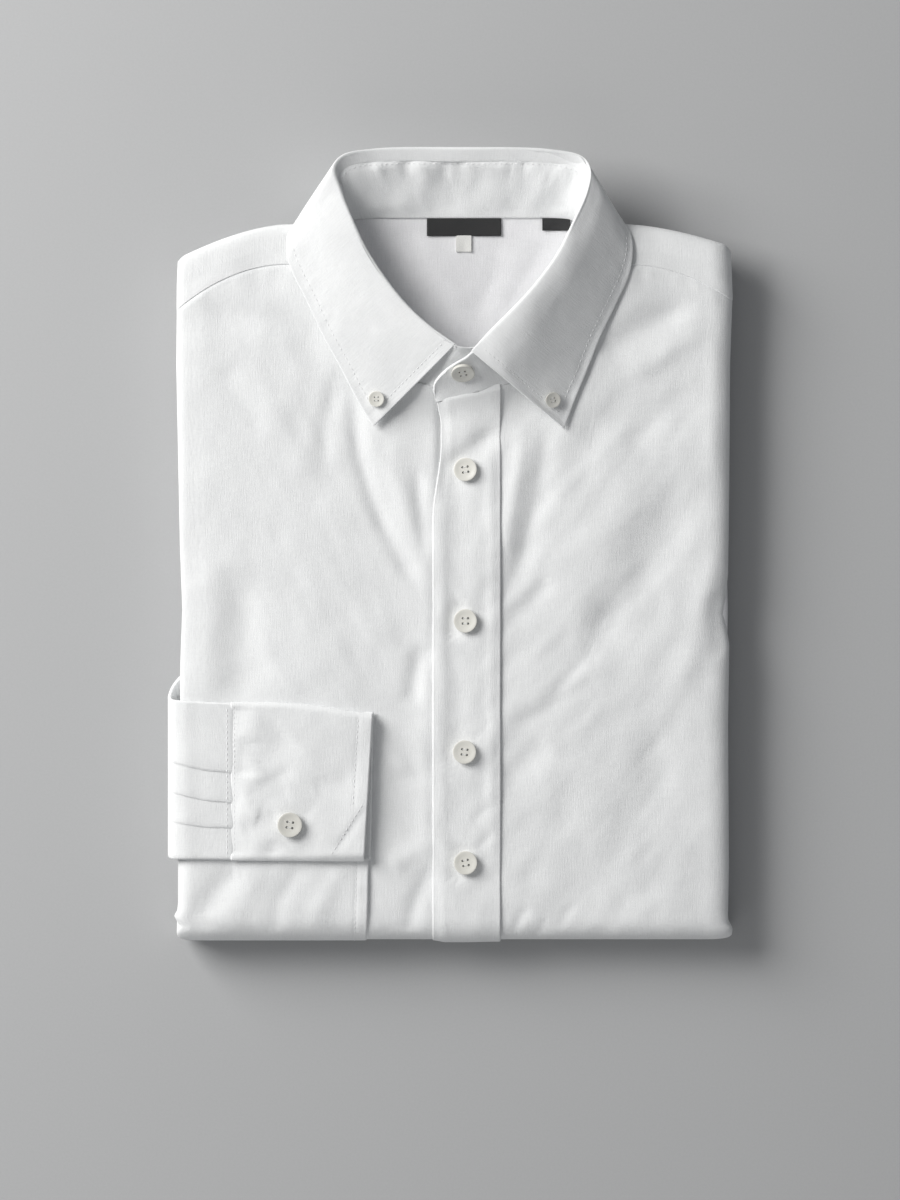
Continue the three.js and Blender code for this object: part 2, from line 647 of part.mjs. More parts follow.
// ---------------------------------------------------------------- sleeve and cuff
// The sleeve comes out of the side fold, loops over the edge and lies on the right front.
const SLEEVE_THICKNESS = 2.1; // its two layers, pressed together
const SLEEVE_TOP = BODY_HEIGHT + UNDER_CUFF_LIFT + GAP + SLEEVE_THICKNESS + 0.4;
const CUFF_START = -113.6; // the seam between the sleeve and the cuff
const SLEEVE_LOOP = [
  // x, z of the outer face, and y of its two edges
  { x: -134.6, z: 11, top: -58, bottom: -150 },
  { x: -139.6, z: 12.4, top: -61, bottom: -153 },
  { x: -143.2, z: 16.6, top: -66, bottom: -155.5 },
  { x: -144.2, z: 21.6, top: -72, bottom: -157 },
  { x: -142, z: SLEEVE_TOP - 2.4, top: -77, bottom: -157.6 },
  { x: -136.6, z: SLEEVE_TOP - 0.2, top: -78.6, bottom: -157.6 },
  { x: -127, z: SLEEVE_TOP, top: -78.8, bottom: -157.6 },
  { x: CUFF_START - 2 * GAP, z: SLEEVE_TOP, top: -79.2, bottom: -157.8 },
];
// Three tucks take the sleeve's width into the cuff. Each lies over the one below it.
const TUCKS = [
  { atCuff: -142, slope: 0.13, step: 0.7 },
  { atCuff: -129.5, slope: 0.2, step: 0.7 },
  { atCuff: -114.5, slope: 0.2, step: 0.7 },
];
const sleeveSection = new THREE.CatmullRomCurve3(
  SLEEVE_LOOP.map(({ x, z }) => new THREE.Vector3(x, 0, z)),
  false,
  "centripetal",
);
const sleeveEdges = new THREE.CatmullRomCurve3(
  SLEEVE_LOOP.map(({ top, bottom }) => new THREE.Vector3(top, bottom, 0)),
  false,
  "centripetal",
);
// Rows run along the tucks: v = 0 is the lower edge, 1 to 3 are the tucks and 4 is the upper edge.
function sleeveFace(u, v) {
  const at = lineAt(sleeveSection, u);
  const { x: top, y: bottom } = lineAt(sleeveEdges, u);
  const tuckY = ({ atCuff, slope }) => atCuff + slope * (CUFF_START - at.x);
  const rows = [bottom, ...TUCKS.map(tuckY), top];
  const row = clamp(Math.floor(v), 0, rows.length - 2);
  const y = mix(rows[row], rows[row + 1], v - row);
  const tuck = TUCKS[Math.min(row, TUCKS.length - 1)];
  const below = row < TUCKS.length ? smooth(0.1, 0.9, v - row) * tuck.step : 0;
  const fade = smooth(0.42, 0.75, u);
  return new THREE.Vector3(at.x, y, at.z - below * fade);
}
const SLEEVE_ROWS = [0, 0.5, 0.92, 1.0, 1.5, 1.92, 2, 2.5, 2.92, 3, 3.35, 3.7, 4];
add(
  "sleeve",
  clothWall(
    sleeveFace,
    [...steps(0, 0.7, 12), 0.85, 1],
    SLEEVE_ROWS,
    SLEEVE_THICKNESS,
  ),
  LINEN,
);

// The cuff is a flattened band: two layers, folded at its upper and lower edges, open at the hand.
const CUFF_BASE = BODY_HEIGHT + UNDER_CUFF_LIFT + GAP;
const CUFF = {
  top: INTERFACED * 2 + 0.9, // of its upper layer over its base
  upperY: [-79, -84.6],
  lowerY: [-158.2, -158.6],
  upperEnd: [-41.2, -45.8], // the outer layer's edge, at the top and at the bottom
  lowerEnd: [-41.2, -42.6],
};
const CUFF_SECTION = 12; // points along each layer
function cuffRing(share, inset) {
  const droop = smooth(0.2, 1, share);
  const upperY = mix(...CUFF.upperY, droop * share) - inset;
  const lowerY = mix(...CUFF.lowerY, share) + inset;
  const half = CUFF.top / 2 - inset;
  const middle = CUFF_BASE + CUFF.top / 2;
  const point = (t, side) => {
    const y = mix(lowerY, upperY, t);
    const ends = side > 0 ? CUFF.upperEnd : CUFF.lowerEnd;
    const x = mix(CUFF_START, mix(ends[1], ends[0], t), share);
    const round = Math.min(1, Math.sqrt(4 * t * (1 - t) * 8));
    const swell = 0.35 * Math.sin(Math.PI * t) * Math.sin(2.6 * share + t);
    const z = middle + side * half * round + (side > 0 ? swell : 0);
    return new THREE.Vector3(x, y, z);
  };
  const ts = [0, 0.008, 0.03, ...steps(0.1, 0.9, CUFF_SECTION - 5), 0.97, 0.992, 1];
  return [
    ...ts.map((t) => point(t, 1)),
    ...ts.slice(1, -1).reverse().map((t) => point(t, -1)),
  ];
}
const CUFF_SHARES = steps(0, 1, 7);
add(
  "cuff",
  tubeSolid(
    CUFF_SHARES.map((share) => cuffRing(share, 0)),
    CUFF_SHARES.map((share) => cuffRing(share, INTERFACED)),
  ),
  LINEN,
);

// ---------------------------------------------------------------- labels in the neck
const LABELS = [
  // left, right, top, bottom edge; the size tab hangs from the neck label
  { name: "neck_label", x: [-14.6, 22.6], y: [154.3, 161.3], tape: DARK_TAPE },
  { name: "size_tab", x: [0, 7.9], y: [146.2, 154], tape: PALE_TAPE },
  { name: "care_label", x: [43.2, 57.4], y: [157, 161.3], tape: DARK_TAPE },
];
const TAPE = 0.8;
for (const { name, x, y, tape } of LABELS) {
  const face = (u, v) =>
    neckFloor(mix(...x, u), mix(...y, v)).add(
      new THREE.Vector3(0, 0, TAPE + GAP),
    );
  add(name, clothWall(face, steps(0, 1, 4), steps(0, 1, 2), TAPE), tape);
}

// ---------------------------------------------------------------- buttons
// A round button with a raised rim and four holes for the thread, lying on the plane z = 0.
function button(diameter, segments) {
  const r = diameter / 2;
  const high = diameter * 0.19;
  const profile = [
    [0, 0],
    [r * 0.62, 0],
    [r * 0.96, high * 0.45],
    [r, high * 0.75],
    [r * 0.88, high],
    [r * 0.7, high * 0.66],
    [0, high * 0.6],
  ].map(([x, y]) => new THREE.Vector2(x, y));
  const disc = new THREE.LatheGeometry(profile, segments);
  disc.rotateX(Math.PI / 2);
  let solid = toSolid(disc);
  const spacing = diameter * 0.13;
  for (const [x, y] of [[1, 1], [-1, 1], [-1, -1], [1, -1]])
    solid = solid.subtract(
      wasm.Manifold.cylinder(3 * high, diameter * 0.055, -1, 6, true).translate([
        x * spacing,
        y * spacing,
        0,
      ]),
    );
  return fromSolid(solid);
}

// The place on a face that lies at x, y in plan, found by closing in on it.
function seat(face, x, y, [uFrom, uTo], [vFrom, vTo]) {
  let best = { u: (uFrom + uTo) / 2, v: (vFrom + vTo) / 2 };
  let reach = [uTo - uFrom, vTo - vFrom];
  for (let round = 0; round < 14; round++) {
    const centre = best;
    let nearest = Infinity;
    for (const du of steps(-0.5, 0.5, 8))
      for (const dv of steps(-0.5, 0.5, 8)) {
        const u = centre.u + du * reach[0];
        const v = centre.v + dv * reach[1];
        const point = face(u, v);
        const miss = Math.hypot(point.x - x, point.y - y);
        if (miss < nearest) {
          nearest = miss;
          best = { u, v };
        }
      }
    reach = reach.map((r) => r * 0.5);
  }
  return {
    point: face(best.u, best.v),
    normal: normalAt(face, best.u, best.v),
  };
}
const bandOuter = lifted(standFace, -INTERFACED);
const bandSeat = seat(bandOuter, 3.4, 84.6, [0.92, 0.995], [0, 1]);
bandSeat.normal.negate();
const cuffSeat = {
  point: new THREE.Vector3(-82.9, -140.2, CUFF_BASE + CUFF.top + 0.3),
  normal: new THREE.Vector3(0, 0, 1),
};
const FRONT_BUTTONS = [
  [5, 37],
  [5, -38.5],
  [4.5, -104],
  [5, -159.5],
];
const placketSeat = ([x, y]) => seat(placketFace, x, y, [0, 1], [0.15, 1]);
const BUTTONS = [
  { name: "button_band", at: bandSeat, diameter: 12 },
  ...FRONT_BUTTONS.map((place, i) => ({
    name: "button_front_" + (i + 1),
    at: placketSeat(place),
    diameter: 12,
  })),
  {
    name: "button_collar_right",
    at: seat(leafFace, -39.5, 72.5, [0, 0.2], [0.4, 1]),
    diameter: 8,
  },
  {
    name: "button_collar_left",
    at: seat(leafFace, 48, 72, [0.8, 1], [0.4, 1]),
    diameter: 8,
  },
  { name: "button_cuff", at: cuffSeat, diameter: 12.6 },
];
const BUTTON_LIFT = 0.5; // the thread holds the button this far off the cloth
for (const { name, at, diameter } of BUTTONS) {
  const mesh = add(name, button(diameter, 16), BUTTON);
  mesh.quaternion.setFromUnitVectors(new THREE.Vector3(0, 0, 1), at.normal);
  mesh.position.copy(at.point).addScaledVector(at.normal, BUTTON_LIFT);
}

export default shirt;
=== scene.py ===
import math

import bmesh
import bpy
import numpy as np
from mathutils import Matrix, Vector


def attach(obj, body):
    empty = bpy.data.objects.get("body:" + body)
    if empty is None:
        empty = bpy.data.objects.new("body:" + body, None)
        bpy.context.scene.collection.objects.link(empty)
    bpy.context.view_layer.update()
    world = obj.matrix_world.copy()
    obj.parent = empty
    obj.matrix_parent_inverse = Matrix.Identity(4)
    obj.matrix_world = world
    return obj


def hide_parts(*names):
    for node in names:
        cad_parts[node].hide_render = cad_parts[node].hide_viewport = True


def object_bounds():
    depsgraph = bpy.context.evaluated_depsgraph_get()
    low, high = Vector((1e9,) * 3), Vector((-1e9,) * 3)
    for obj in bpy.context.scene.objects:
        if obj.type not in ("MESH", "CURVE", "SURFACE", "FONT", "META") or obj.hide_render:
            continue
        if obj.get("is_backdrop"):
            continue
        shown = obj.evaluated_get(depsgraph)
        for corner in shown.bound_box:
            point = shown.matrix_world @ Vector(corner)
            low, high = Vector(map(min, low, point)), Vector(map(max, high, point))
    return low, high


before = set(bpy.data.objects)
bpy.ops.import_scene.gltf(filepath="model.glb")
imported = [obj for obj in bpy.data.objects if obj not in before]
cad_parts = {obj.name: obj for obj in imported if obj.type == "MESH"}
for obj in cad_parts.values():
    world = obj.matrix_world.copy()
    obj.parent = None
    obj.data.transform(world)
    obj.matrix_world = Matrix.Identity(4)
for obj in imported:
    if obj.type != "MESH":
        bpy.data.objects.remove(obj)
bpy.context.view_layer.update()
bpy.context.scene.view_settings.view_transform = "Standard"

# ---------------------------------------------------------------- the layers inside the fold
# Back, tail and sleeves, pressed flat and folded in half behind the fronts. Plain white linen, held
# only by the pressing. They show as a stack of soft edges at the sides and the shoulders.
MM = 0.001  # lengths are in millimetres, with x to the wearer's left, y to the collar and z up
CLOTH = 1.2  # a wall of cloth, with the air it holds
GAP = 0.3
HALF_WIDTH = 138.5
BODY_HEIGHT = 24.5
BODY_BOTTOM = -198.2
SLAB = BODY_HEIGHT / 4  # the body is two slabs, joined by the bottom fold; this is half of one
SIDE_ROLL = 12.0
SHOULDER_ROLL = 12.0
FOLD_REACH = 13.0
SIDE_FLAT = HALF_WIDTH - SIDE_ROLL
FOLD_AXIS_Y = BODY_BOTTOM + FOLD_REACH
COVER = CLOTH + 4 * GAP  # what the fronts and the yoke take up over these layers
TAIL_Y = 157.0
SHOULDER_Y = 160.0  # the shoulder fold, beside the collar
SLOPE_FROM = 85.0  # how far out the shoulders start to fall away
CORNER_FROM = 134.5  # how far out their corners are rounded off
NECK_X, NECK_Y, NECK_HALF, NECK_DEPTH = 4.0, 140.0, 64.4, 66.2
NECK_FLOOR = 18.4
SWELLS = 97  # random heights along each side of a rumple's table
RUMPLE_START = 400.0  # the swell that lies at the middle of the body


def smooth(start, end, x):
    t = np.clip((x - start) / (end - start), 0, 1)
    return t * t * (3 - 2 * t)


def mix(a, b, t):
    return a + (b - a) * t


def bell(distance, width):
    """One at no distance, falling softly to nought about two widths away."""
    return np.exp(-((distance / width) ** 2))


def rumple(x, y, size, seed):
    """Soft unevenness of cloth, from -1 to 1, with hollows and swells about a size across."""
    table = np.random.default_rng(seed).uniform(-1, 1, (SWELLS, SWELLS))
    turn = 0.6 + seed  # so that no two of them line up
    gx = (x * math.cos(turn) - y * math.sin(turn)) / size + RUMPLE_START
    gy = (x * math.sin(turn) + y * math.cos(turn)) / size + RUMPLE_START
    i, j = np.floor(gx).astype(int), np.floor(gy).astype(int)
    fx, fy = (f * f * f * (f * (6 * f - 15) + 10) for f in (gx - i, gy - j))

    def at(a, b):
        return table[a % SWELLS, b % SWELLS]

    low = mix(at(i, j), at(i + 1, j), fx)
    high = mix(at(i, j + 1), at(i + 1, j + 1), fx)
    return mix(low, high, fy)


def make_piece(name, points, faces, cloth):
    """A smooth mesh from points in millimetres. cloth is each point's place on the flat cloth."""
    mesh = bpy.data.meshes.new(name)
    mesh.from_pydata((points * MM).tolist(), [], faces)
    mesh.polygons.foreach_set("use_smooth", np.ones(len(mesh.polygons), bool))
    corner = np.empty(len(mesh.loops), int)
    mesh.loops.foreach_get("vertex_index", corner)
    layer = mesh.uv_layers.new(name="cloth")
    layer.data.foreach_set("uv", (cloth[corner] * MM).astype(np.float32).ravel())
    mesh.update()
    piece = bpy.data.objects.new(name, mesh)
    bpy.context.scene.collection.objects.link(piece)
    return piece


def tube_faces(base, rings, around):
    """Faces of a closed tube made of rings of points, the first of them numbered base."""
    faces = []
    for k in range(rings - 1):
        for i in range(around):
            a, j = base + around * k, (i + 1) % around
            faces.append((a + i, a + j, a + around + j, a + around + i))
    last = base + around * (rings - 1)
    return faces + [tuple(range(base, base + around))[::-1], tuple(range(last, last + around))]


def cut_away(piece, cutter):
    """Takes a closed cutter's shape out of a piece."""
    cut = piece.modifiers.new("cut", "BOOLEAN")
    cut.object = cutter
    cut.solver = "EXACT"
    bpy.ops.object.select_all(action="DESELECT")
    bpy.context.view_layer.objects.active = piece
    piece.select_set(True)
    bpy.ops.object.modifier_apply(modifier=cut.name)
    bpy.data.objects.remove(cutter)


class Strand:
    """A value in a finish. Sums and products of it add the nodes that work them out."""

    def __init__(self, tree, socket=None):
        self.tree = tree
        self.socket = socket

    def node(self, kind, settings=(), values=(), output=0):
        made = self.tree.nodes.new(kind)
        for name, setting in dict(settings).items():
            setattr(made, name, setting)
        for name, value in dict(values).items():
            if isinstance(value, Strand):
                self.tree.links.new(value.socket, made.inputs[name])
            else:
                made.inputs[name].default_value = value
        return Strand(self.tree, made.outputs[output] if made.outputs else None)

    def maths(self, operation, first, second=0.0):
        return self.node("ShaderNodeMath", {"operation": operation}, {0: first, 1: second})

    def blend(self, factor, dark, light):
        """The colour between these two, as the factor goes from nought to one."""
        values = {"Factor": factor, "A": (*dark, 1), "B": (*light, 1)}
        return self.node("ShaderNodeMix", {"data_type": "RGBA"}, values, 2)

    def noise(self, place, scale, detail):
        return self.node("ShaderNodeTexNoise", (), {"Vector": place, "Scale": scale, "Detail": detail})

    def bump(self, strength, distance, height):
        values = {"Strength": strength, "Distance": distance, "Height": height}
        return self.node("ShaderNodeBump", (), values)

    def __add__(self, other):
        return self.maths("ADD", self, other)

    def __sub__(self, other):
        return self.maths("SUBTRACT", self, other)

    def __rsub__(self, other):
        return self.maths("SUBTRACT", other, self)

    def __mul__(self, other):
        return self.maths("MULTIPLY", self, other)

    __radd__ = __add__
    __rmul__ = __mul__


def new_finish(name):
    material = bpy.data.materials.new(name)
    material.use_nodes = True
    material.node_tree.nodes.clear()
    return material, Strand(material.node_tree)


def surface(strand, values):
    shader = strand.node("ShaderNodeBsdfPrincipled", (), values)
    strand.node("ShaderNodeOutputMaterial", (), {"Surface": shader})


def thread_check(strand, place, across, along):
    """A fine check of raised and sunken threads, at these spacings in metres."""
    parts = strand.node("ShaderNodeSeparateXYZ", (), {"Vector": place}).socket.node.outputs
    ripple_x = strand.maths("SINE", Strand(strand.tree, parts["X"]) * (2 * math.pi / across))
    ripple_y = strand.maths("SINE", Strand(strand.tree, parts["Y"]) * (2 * math.pi / along))
    return ripple_x * ripple_y


def linen(name, shade, light):
    """Plain-woven linen: a fine weave, slubs along both threads, and cloudy unevenness."""
    material, strand = new_finish(name)
    place = strand.node("ShaderNodeUVMap", {"uv_map": "cloth"})

    def threads(across, along, detail, seed):
        """Noise drawn out along one thread; sizes in metres."""
        stretched = strand.node(
            "ShaderNodeMapping",
            (),
            {"Vector": place, "Location": (seed, seed * 0.7, 0), "Scale": (1 / across, 1 / along, 1)},
        )
        return strand.node(
            "ShaderNodeTexNoise",
            {"noise_dimensions": "2D"},
            {"Vector": stretched, "Scale": 1.0, "Detail": detail, "Roughness": 0.55},
        )

    warp = threads(0.00055, 0.007, 3.0, 3.1)
    weft = threads(0.006, 0.0006, 3.0, 7.7)
    clouds = threads(0.02, 0.024, 3.0, 1.3)
    grain = threads(0.0007, 0.0008, 1.0, 5.2)
    cells = thread_check(strand, place, 0.00052, 0.00056)
    slubs = warp * 0.5 + weft * 0.25 + grain * 0.25
    tone = slubs * 0.7 + clouds * 0.3 + cells * 0.03
    contrast = 2.8
    values = {
        "Base Color": strand.blend((tone - 0.32) * contrast, shade, light),
        "Roughness": 0.86,
        "Sheen Weight": 0.12,
        "Sheen Roughness": 0.45,
        "Normal": strand.bump(0.7, 0.00026, slubs * 1.3 + cells * 0.22),
    }
    surface(strand, values)
    return material


# A greyer, bluer copy of the outer linen. Its darker tone is painted shade, for the layers inside the fold
# and for the inside of the back.
SHADED_LINEN = linen("linen with painted shade", (0.74, 0.74, 0.755), (0.85, 0.85, 0.865))
TAIL_LAYERS = 3  # that show in the lower half, as a stack
GROOVE_DEPTH = 1.1  # between those layers, at the sides
GROOVE_WIDTH = 0.45
HEM_STEP = 2.6  # how far each layer of the tail lies back from the one below it
CORE_TOP = BODY_HEIGHT - CLOTH - 2.3
FRONTS_END = 1.4  # the height at which the fronts end, under the bottom fold


def shoulder_slope(x):
    """From nought beside the collar to one at the side."""
    return np.clip((np.abs(x) - SLOPE_FROM) / (HALF_WIDTH - SLOPE_FROM), 0, 1)


def shoulder_y(x):
    """The shoulder fold: the right shoulder falls away more, the left corner is rounder."""
    corner = np.clip((np.abs(x) - CORNER_FROM) / (HALF_WIDTH - CORNER_FROM), 0, 1) ** 2
    fall = np.where(x < 0, 17, 11) * shoulder_slope(x) ** 1.6
    return SHOULDER_Y - fall - np.where(x < 0, 1.6, 2.6) * corner


def layer_half_width(y, z):
    """Two rounded slabs at the sides, one on the other, that join round the bottom fold."""
    middle = BODY_HEIGHT / 2
    past_axis = max(0.0, FOLD_AXIS_Y - y) * middle / FOLD_REACH
    radius = math.hypot(z - middle, past_axis)
    half = SLAB if z < middle and y > FOLD_AXIS_Y else SLAB - COVER
    off = min(1.0, max(-1.0, (radius - SLAB) / half))
    bulge = (1 - off * off) ** (0.25 if y < FOLD_AXIS_Y else 0.5)
    grooves = 0.0
    if z < middle:
        for k in range(1, TAIL_LAYERS):
            grooves += GROOVE_DEPTH * bell(z - k / TAIL_LAYERS * middle, GROOVE_WIDTH)
    return SIDE_FLAT + (SIDE_ROLL - COVER) * bulge - grooves


def layer_bottom_y(z):
    """The bottom fold, with room left for what goes round it."""
    radius = BODY_HEIGHT / 2 - (COVER if z > FRONTS_END else 0)
    off = min(1.0, max(-1.0, (z - BODY_HEIGHT / 2) / radius))
    return FOLD_AXIS_Y - FOLD_REACH * radius / (BODY_HEIGHT / 2) * math.sqrt(1 - off * off)


def layer_top_y(x, z):
    """The shoulder fold in the upper half, and the stepped edges of the tail in the lower one."""
    middle = BODY_HEIGHT / 2
    if z < middle:
        hem = math.floor(z / middle * TAIL_LAYERS)
        within = z / middle * TAIL_LAYERS - hem
        return min(TAIL_Y, shoulder_y(x) - 4) - HEM_STEP * hem - 1.4 * (2 * within - 1) ** 4
    off = min(1.0, max(-1.0, (z - middle - SLAB) / (SLAB - COVER)))
    return shoulder_y(x) - SHOULDER_ROLL + (SHOULDER_ROLL - COVER) * math.sqrt(1 - off * off)


def layer_ring(z):
    """The outline of the stack at one height."""
    bottom = layer_bottom_y(z)
    sides = {}
    for side in (1, -1):
        sides[side] = []
        for t in np.linspace(0, 1, 9)[:-1]:
            y = mix(bottom, FOLD_AXIS_Y, math.sin(t * math.pi / 2) ** 2)
            sides[side].append((side * layer_half_width(y, z), y))
        top = float(layer_top_y(side * HALF_WIDTH, z)) - 3
        for y in np.linspace(FOLD_AXIS_Y, top, 48):
            sides[side].append((side * layer_half_width(y, z), y))
    width = layer_half_width(0, z)
    shoulder = [(x, float(layer_top_y(x, z))) for x in np.linspace(width - 3, 3 - width, 72)]
    base = [(x, bottom) for x in np.linspace(-SIDE_FLAT, SIDE_FLAT, 40)[1:-1]]
    ring = np.array(sides[1] + shoulder + sides[-1][::-1] + base)
    # Pressed cloth is never quite straight: each layer wanders a little.
    wander = 0.5 * rumple(ring[:, 1], ring[:, 0] + 40 * math.floor(z / 4), 30, 5)
    ring[:, 0] += np.sign(ring[:, 0]) * wander * (np.abs(ring[:, 0]) > SIDE_FLAT - 2)
    return np.c_[ring, np.full(len(ring), z)]


levels = [*np.linspace(0.35, BODY_HEIGHT / 2 - 0.2, 34), *np.linspace(BODY_HEIGHT / 2, CORE_TOP, 22)]
side_rings = [layer_ring(z) for z in levels]


def spread(ring, z, seed):
    """Rings closing in to the middle, for the face that lies on the shelf or under the fronts."""
    middle = ring.mean(0)
    rings = []
    for share in np.linspace(0.02, 0.985, 44):
        points = middle + (ring - middle) * share
        soft = 0.35 + 0.35 * rumple(points[:, 0], points[:, 1], 38, seed)
        points[:, 2] = z + soft * (1 - share**8) * (1 if z < 1 else -1)
        rings.append(points)
    return rings


under = spread(layer_ring(0.05), 0.0, 21)
over = spread(side_rings[-1], CORE_TOP, 22)[::-4]
rings = [*under, *side_rings, *over]
points = np.vstack(rings)
faces = tube_faces(0, len(rings), len(rings[0]))
layers = make_piece("inside_layers", points, faces, points[:, :2] + points[:, 2:])

# The neck is left open, down to the inner side of the back.
turns = np.linspace(math.pi, 2 * math.pi, 40)
outline = [(NECK_X + (NECK_HALF + 1) * math.cos(a), NECK_Y + (NECK_DEPTH - 5) * math.sin(a)) for a in turns]
outline += [(NECK_X + NECK_HALF + 1, 180), (NECK_X - NECK_HALF - 1, 180)]
well = np.array([(x, y, z) for z in (NECK_FLOOR - CLOTH - 2 * GAP, 40) for x, y in outline], float)
cut_away(layers, make_piece("neck_well", well, tube_faces(0, 2, len(outline)), well[:, :2]))
# The layers take the linen with painted shade.
layers.data.materials.append(SHADED_LINEN)
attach(layers, "root")
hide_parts("folded_layers")

# ---------------------------------------------------------------- the two fronts
# White linen panels, cut square and sewn to the yoke at the top and into the collar stand. They
# roll over the sides and go round the bottom fold. Pressed, with soft creases from the folding.
OUTER_LINEN = linen("outer linen", (0.80, 0.81, 0.815), (0.90, 0.91, 0.912))
SIDE_ARC = math.sqrt((SIDE_ROLL**2 + SLAB**2) / 2)
SHOULDER_ARC = math.sqrt((SHOULDER_ROLL**2 + SLAB**2) / 2)
FOLD_ARC = math.sqrt((FOLD_REACH**2 + (BODY_HEIGHT / 2) ** 2) / 2)
# Where the fronts end, on the flat cloth: so many radians round the side roll and the bottom fold.
SIDE_EDGE = SIDE_FLAT + SIDE_ARC * 2.25
BOTTOM_EDGE = FOLD_AXIS_Y - FOLD_ARC * 2.6
FRONT_MIDDLE = 4.5
CRISP = {-1: 0.43, 1: 0.86}  # how each pressed side turns over: 1 is a plain oval, less is squarer
CRISP_SHOULDER = 0.47
CRISP_FOLD = 0.74
TO_LIGHT = (-0.86, 0.51)  # a crease is told its width on this side and on the other
YOKE_SEAM_Y = 140.0

# Height, width towards the light, width away from it, and the places the crease runs through.
FRONT_CREASES = [
    (-1.4, 3.8, 5, [(-53, 86), (-49.5, 56), (-45.3, 32), (-37.5, 10), (-26, -11.5), (-14, -27)]),
    (0.9, 5, 5, [(-33, 52), (-28, 27), (-20, 2), (-13, -15.5)]),
    (-0.9, 3.2, 4, [(-20, 40), (-18, 20), (-17, 4), (-14, -10)]),
    (-0.7, 4.5, 4.5, [(-56, 92), (-62, 70), (-66, 52), (-66, 34)]),
    (-0.9, 4, 9, [(-128, 121), (-112.5, 115), (-91, 111), (-75.5, 106), (-64, 97)]),
    (-0.5, 6, 6, [(-118, 90), (-108, 73), (-93, 55)]),
    (-1.5, 10, 9, [(-105.5, -8), (-106.5, -48), (-108, -88)]),
    (0.6, 8, 8, [(-124, 2), (-124, -40), (-124, -84)]),
    (-1.2, 5, 5, [(-14, -48), (-20, -64), (-22, -82)]),
    (-0.4, 5, 5, [(-33, -24), (-29, -40), (-25, -54)]),
    (-1.2, 4.5, 4.5, [(-12, -158), (-20, -179), (-25, -195)]),
    (-0.6, 2.6, 2.6, [(38, -181), (32, -188), (28, -195)]),
    (-0.5, 2.4, 2.4, [(46, -184), (42, -190), (39, -196)]),
    (-0.4, 2.4, 2.4, [(60, -180), (55, -186), (53, -192)]),
    (-0.4, 4, 4, [(-35, -119), (-24, -117), (-11, -118)]),
    (0.8, 5, 5, [(-35, -161), (-24, -155), (-13, -148)]),
    (1.3, 7, 6, [(84, 84), (98, 92), (112, 101), (128, 108)]),
    (-1.7, 6.5, 6, [(70, 95), (84, 103), (100, 112), (120, 121)]),
    (-0.8, 8, 8, [(84, 45), (99.5, 62), (123, 78)]),
    (-1.8, 11, 12, [(121, 30), (105, 5), (92, -18), (77, -37), (60, -53)]),
    (0.9, 14, 14, [(94, 28), (72, -8), (55, -42)]),
    (1.1, 7, 7, [(132, -2), (122, -48), (110, -76)]),
    (-1.4, 6, 6, [(134.5, -22), (135, -40), (134, -60)]),
    (-1.4, 4.5, 6, [(47, 64), (43, 34), (37.5, 8), (30, -14), (23, -32)]),
    (0.9, 4, 4, [(33, 60), (30, 34), (26, 8), (24.5, -6)]),
    (-0.8, 4.5, 5, [(48, -16), (37, -28), (25, -40)]),
    (-0.4, 3.5, 3.5, [(74, -52), (59.5, -62), (48, -76)]),
    (-0.5, 4, 4, [(76, -65), (52, -79), (27, -91)]),
    (-0.8, 5.5, 7, [(46, -98), (35, -108), (24, -122)]),
    (-0.8, 6, 7, [(60, -132), (50, -145), (40, -158), (33, -174)]),
    (-1.1, 16, 16, [(107, -72), (102, -118), (97, -153), (105, -184)]),
    (0.5, 5, 5, [(130, 110), (131, 72), (130, 34)]),
    (0.7, 4.5, 6, [(-11, 60), (-13.5, 20), (-14.5, -40), (-14.5, -120), (-14.5, -192)]),
]


def curve_through(stations, t):
    """Points of the smooth line through the stations, at shares t of the way along it."""
    knots = np.asarray(stations, float)
    last = len(knots) - 1
    knots = np.vstack([2 * knots[0] - knots[1], knots, 2 * knots[-1] - knots[-2]])
    at = np.clip(np.asarray(t, float), 0, 1) * last
    i = np.minimum(at.astype(int), last - 1)
    w = (at - i)[..., None]
    p0, p1, p2, p3 = (knots[i + k] for k in range(4))
    d0, d1, d2 = (
        np.sqrt(np.maximum(np.linalg.norm(b - a, axis=-1, keepdims=True), 1e-6))
        for a, b in ((p0, p1), (p1, p2), (p2, p3))
    )
    out = ((p1 - p0) / d0 - (p2 - p0) / (d0 + d1) + (p2 - p1) / d1) * d1
    into = ((p2 - p1) / d1 - (p3 - p1) / (d1 + d2) + (p3 - p2) / d2) * d1
    square = -3 * p1 + 3 * p2 - 2 * out - into
    return p1 + out * w + square * w**2 + (2 * p1 - 2 * p2 + out + into) * w**3


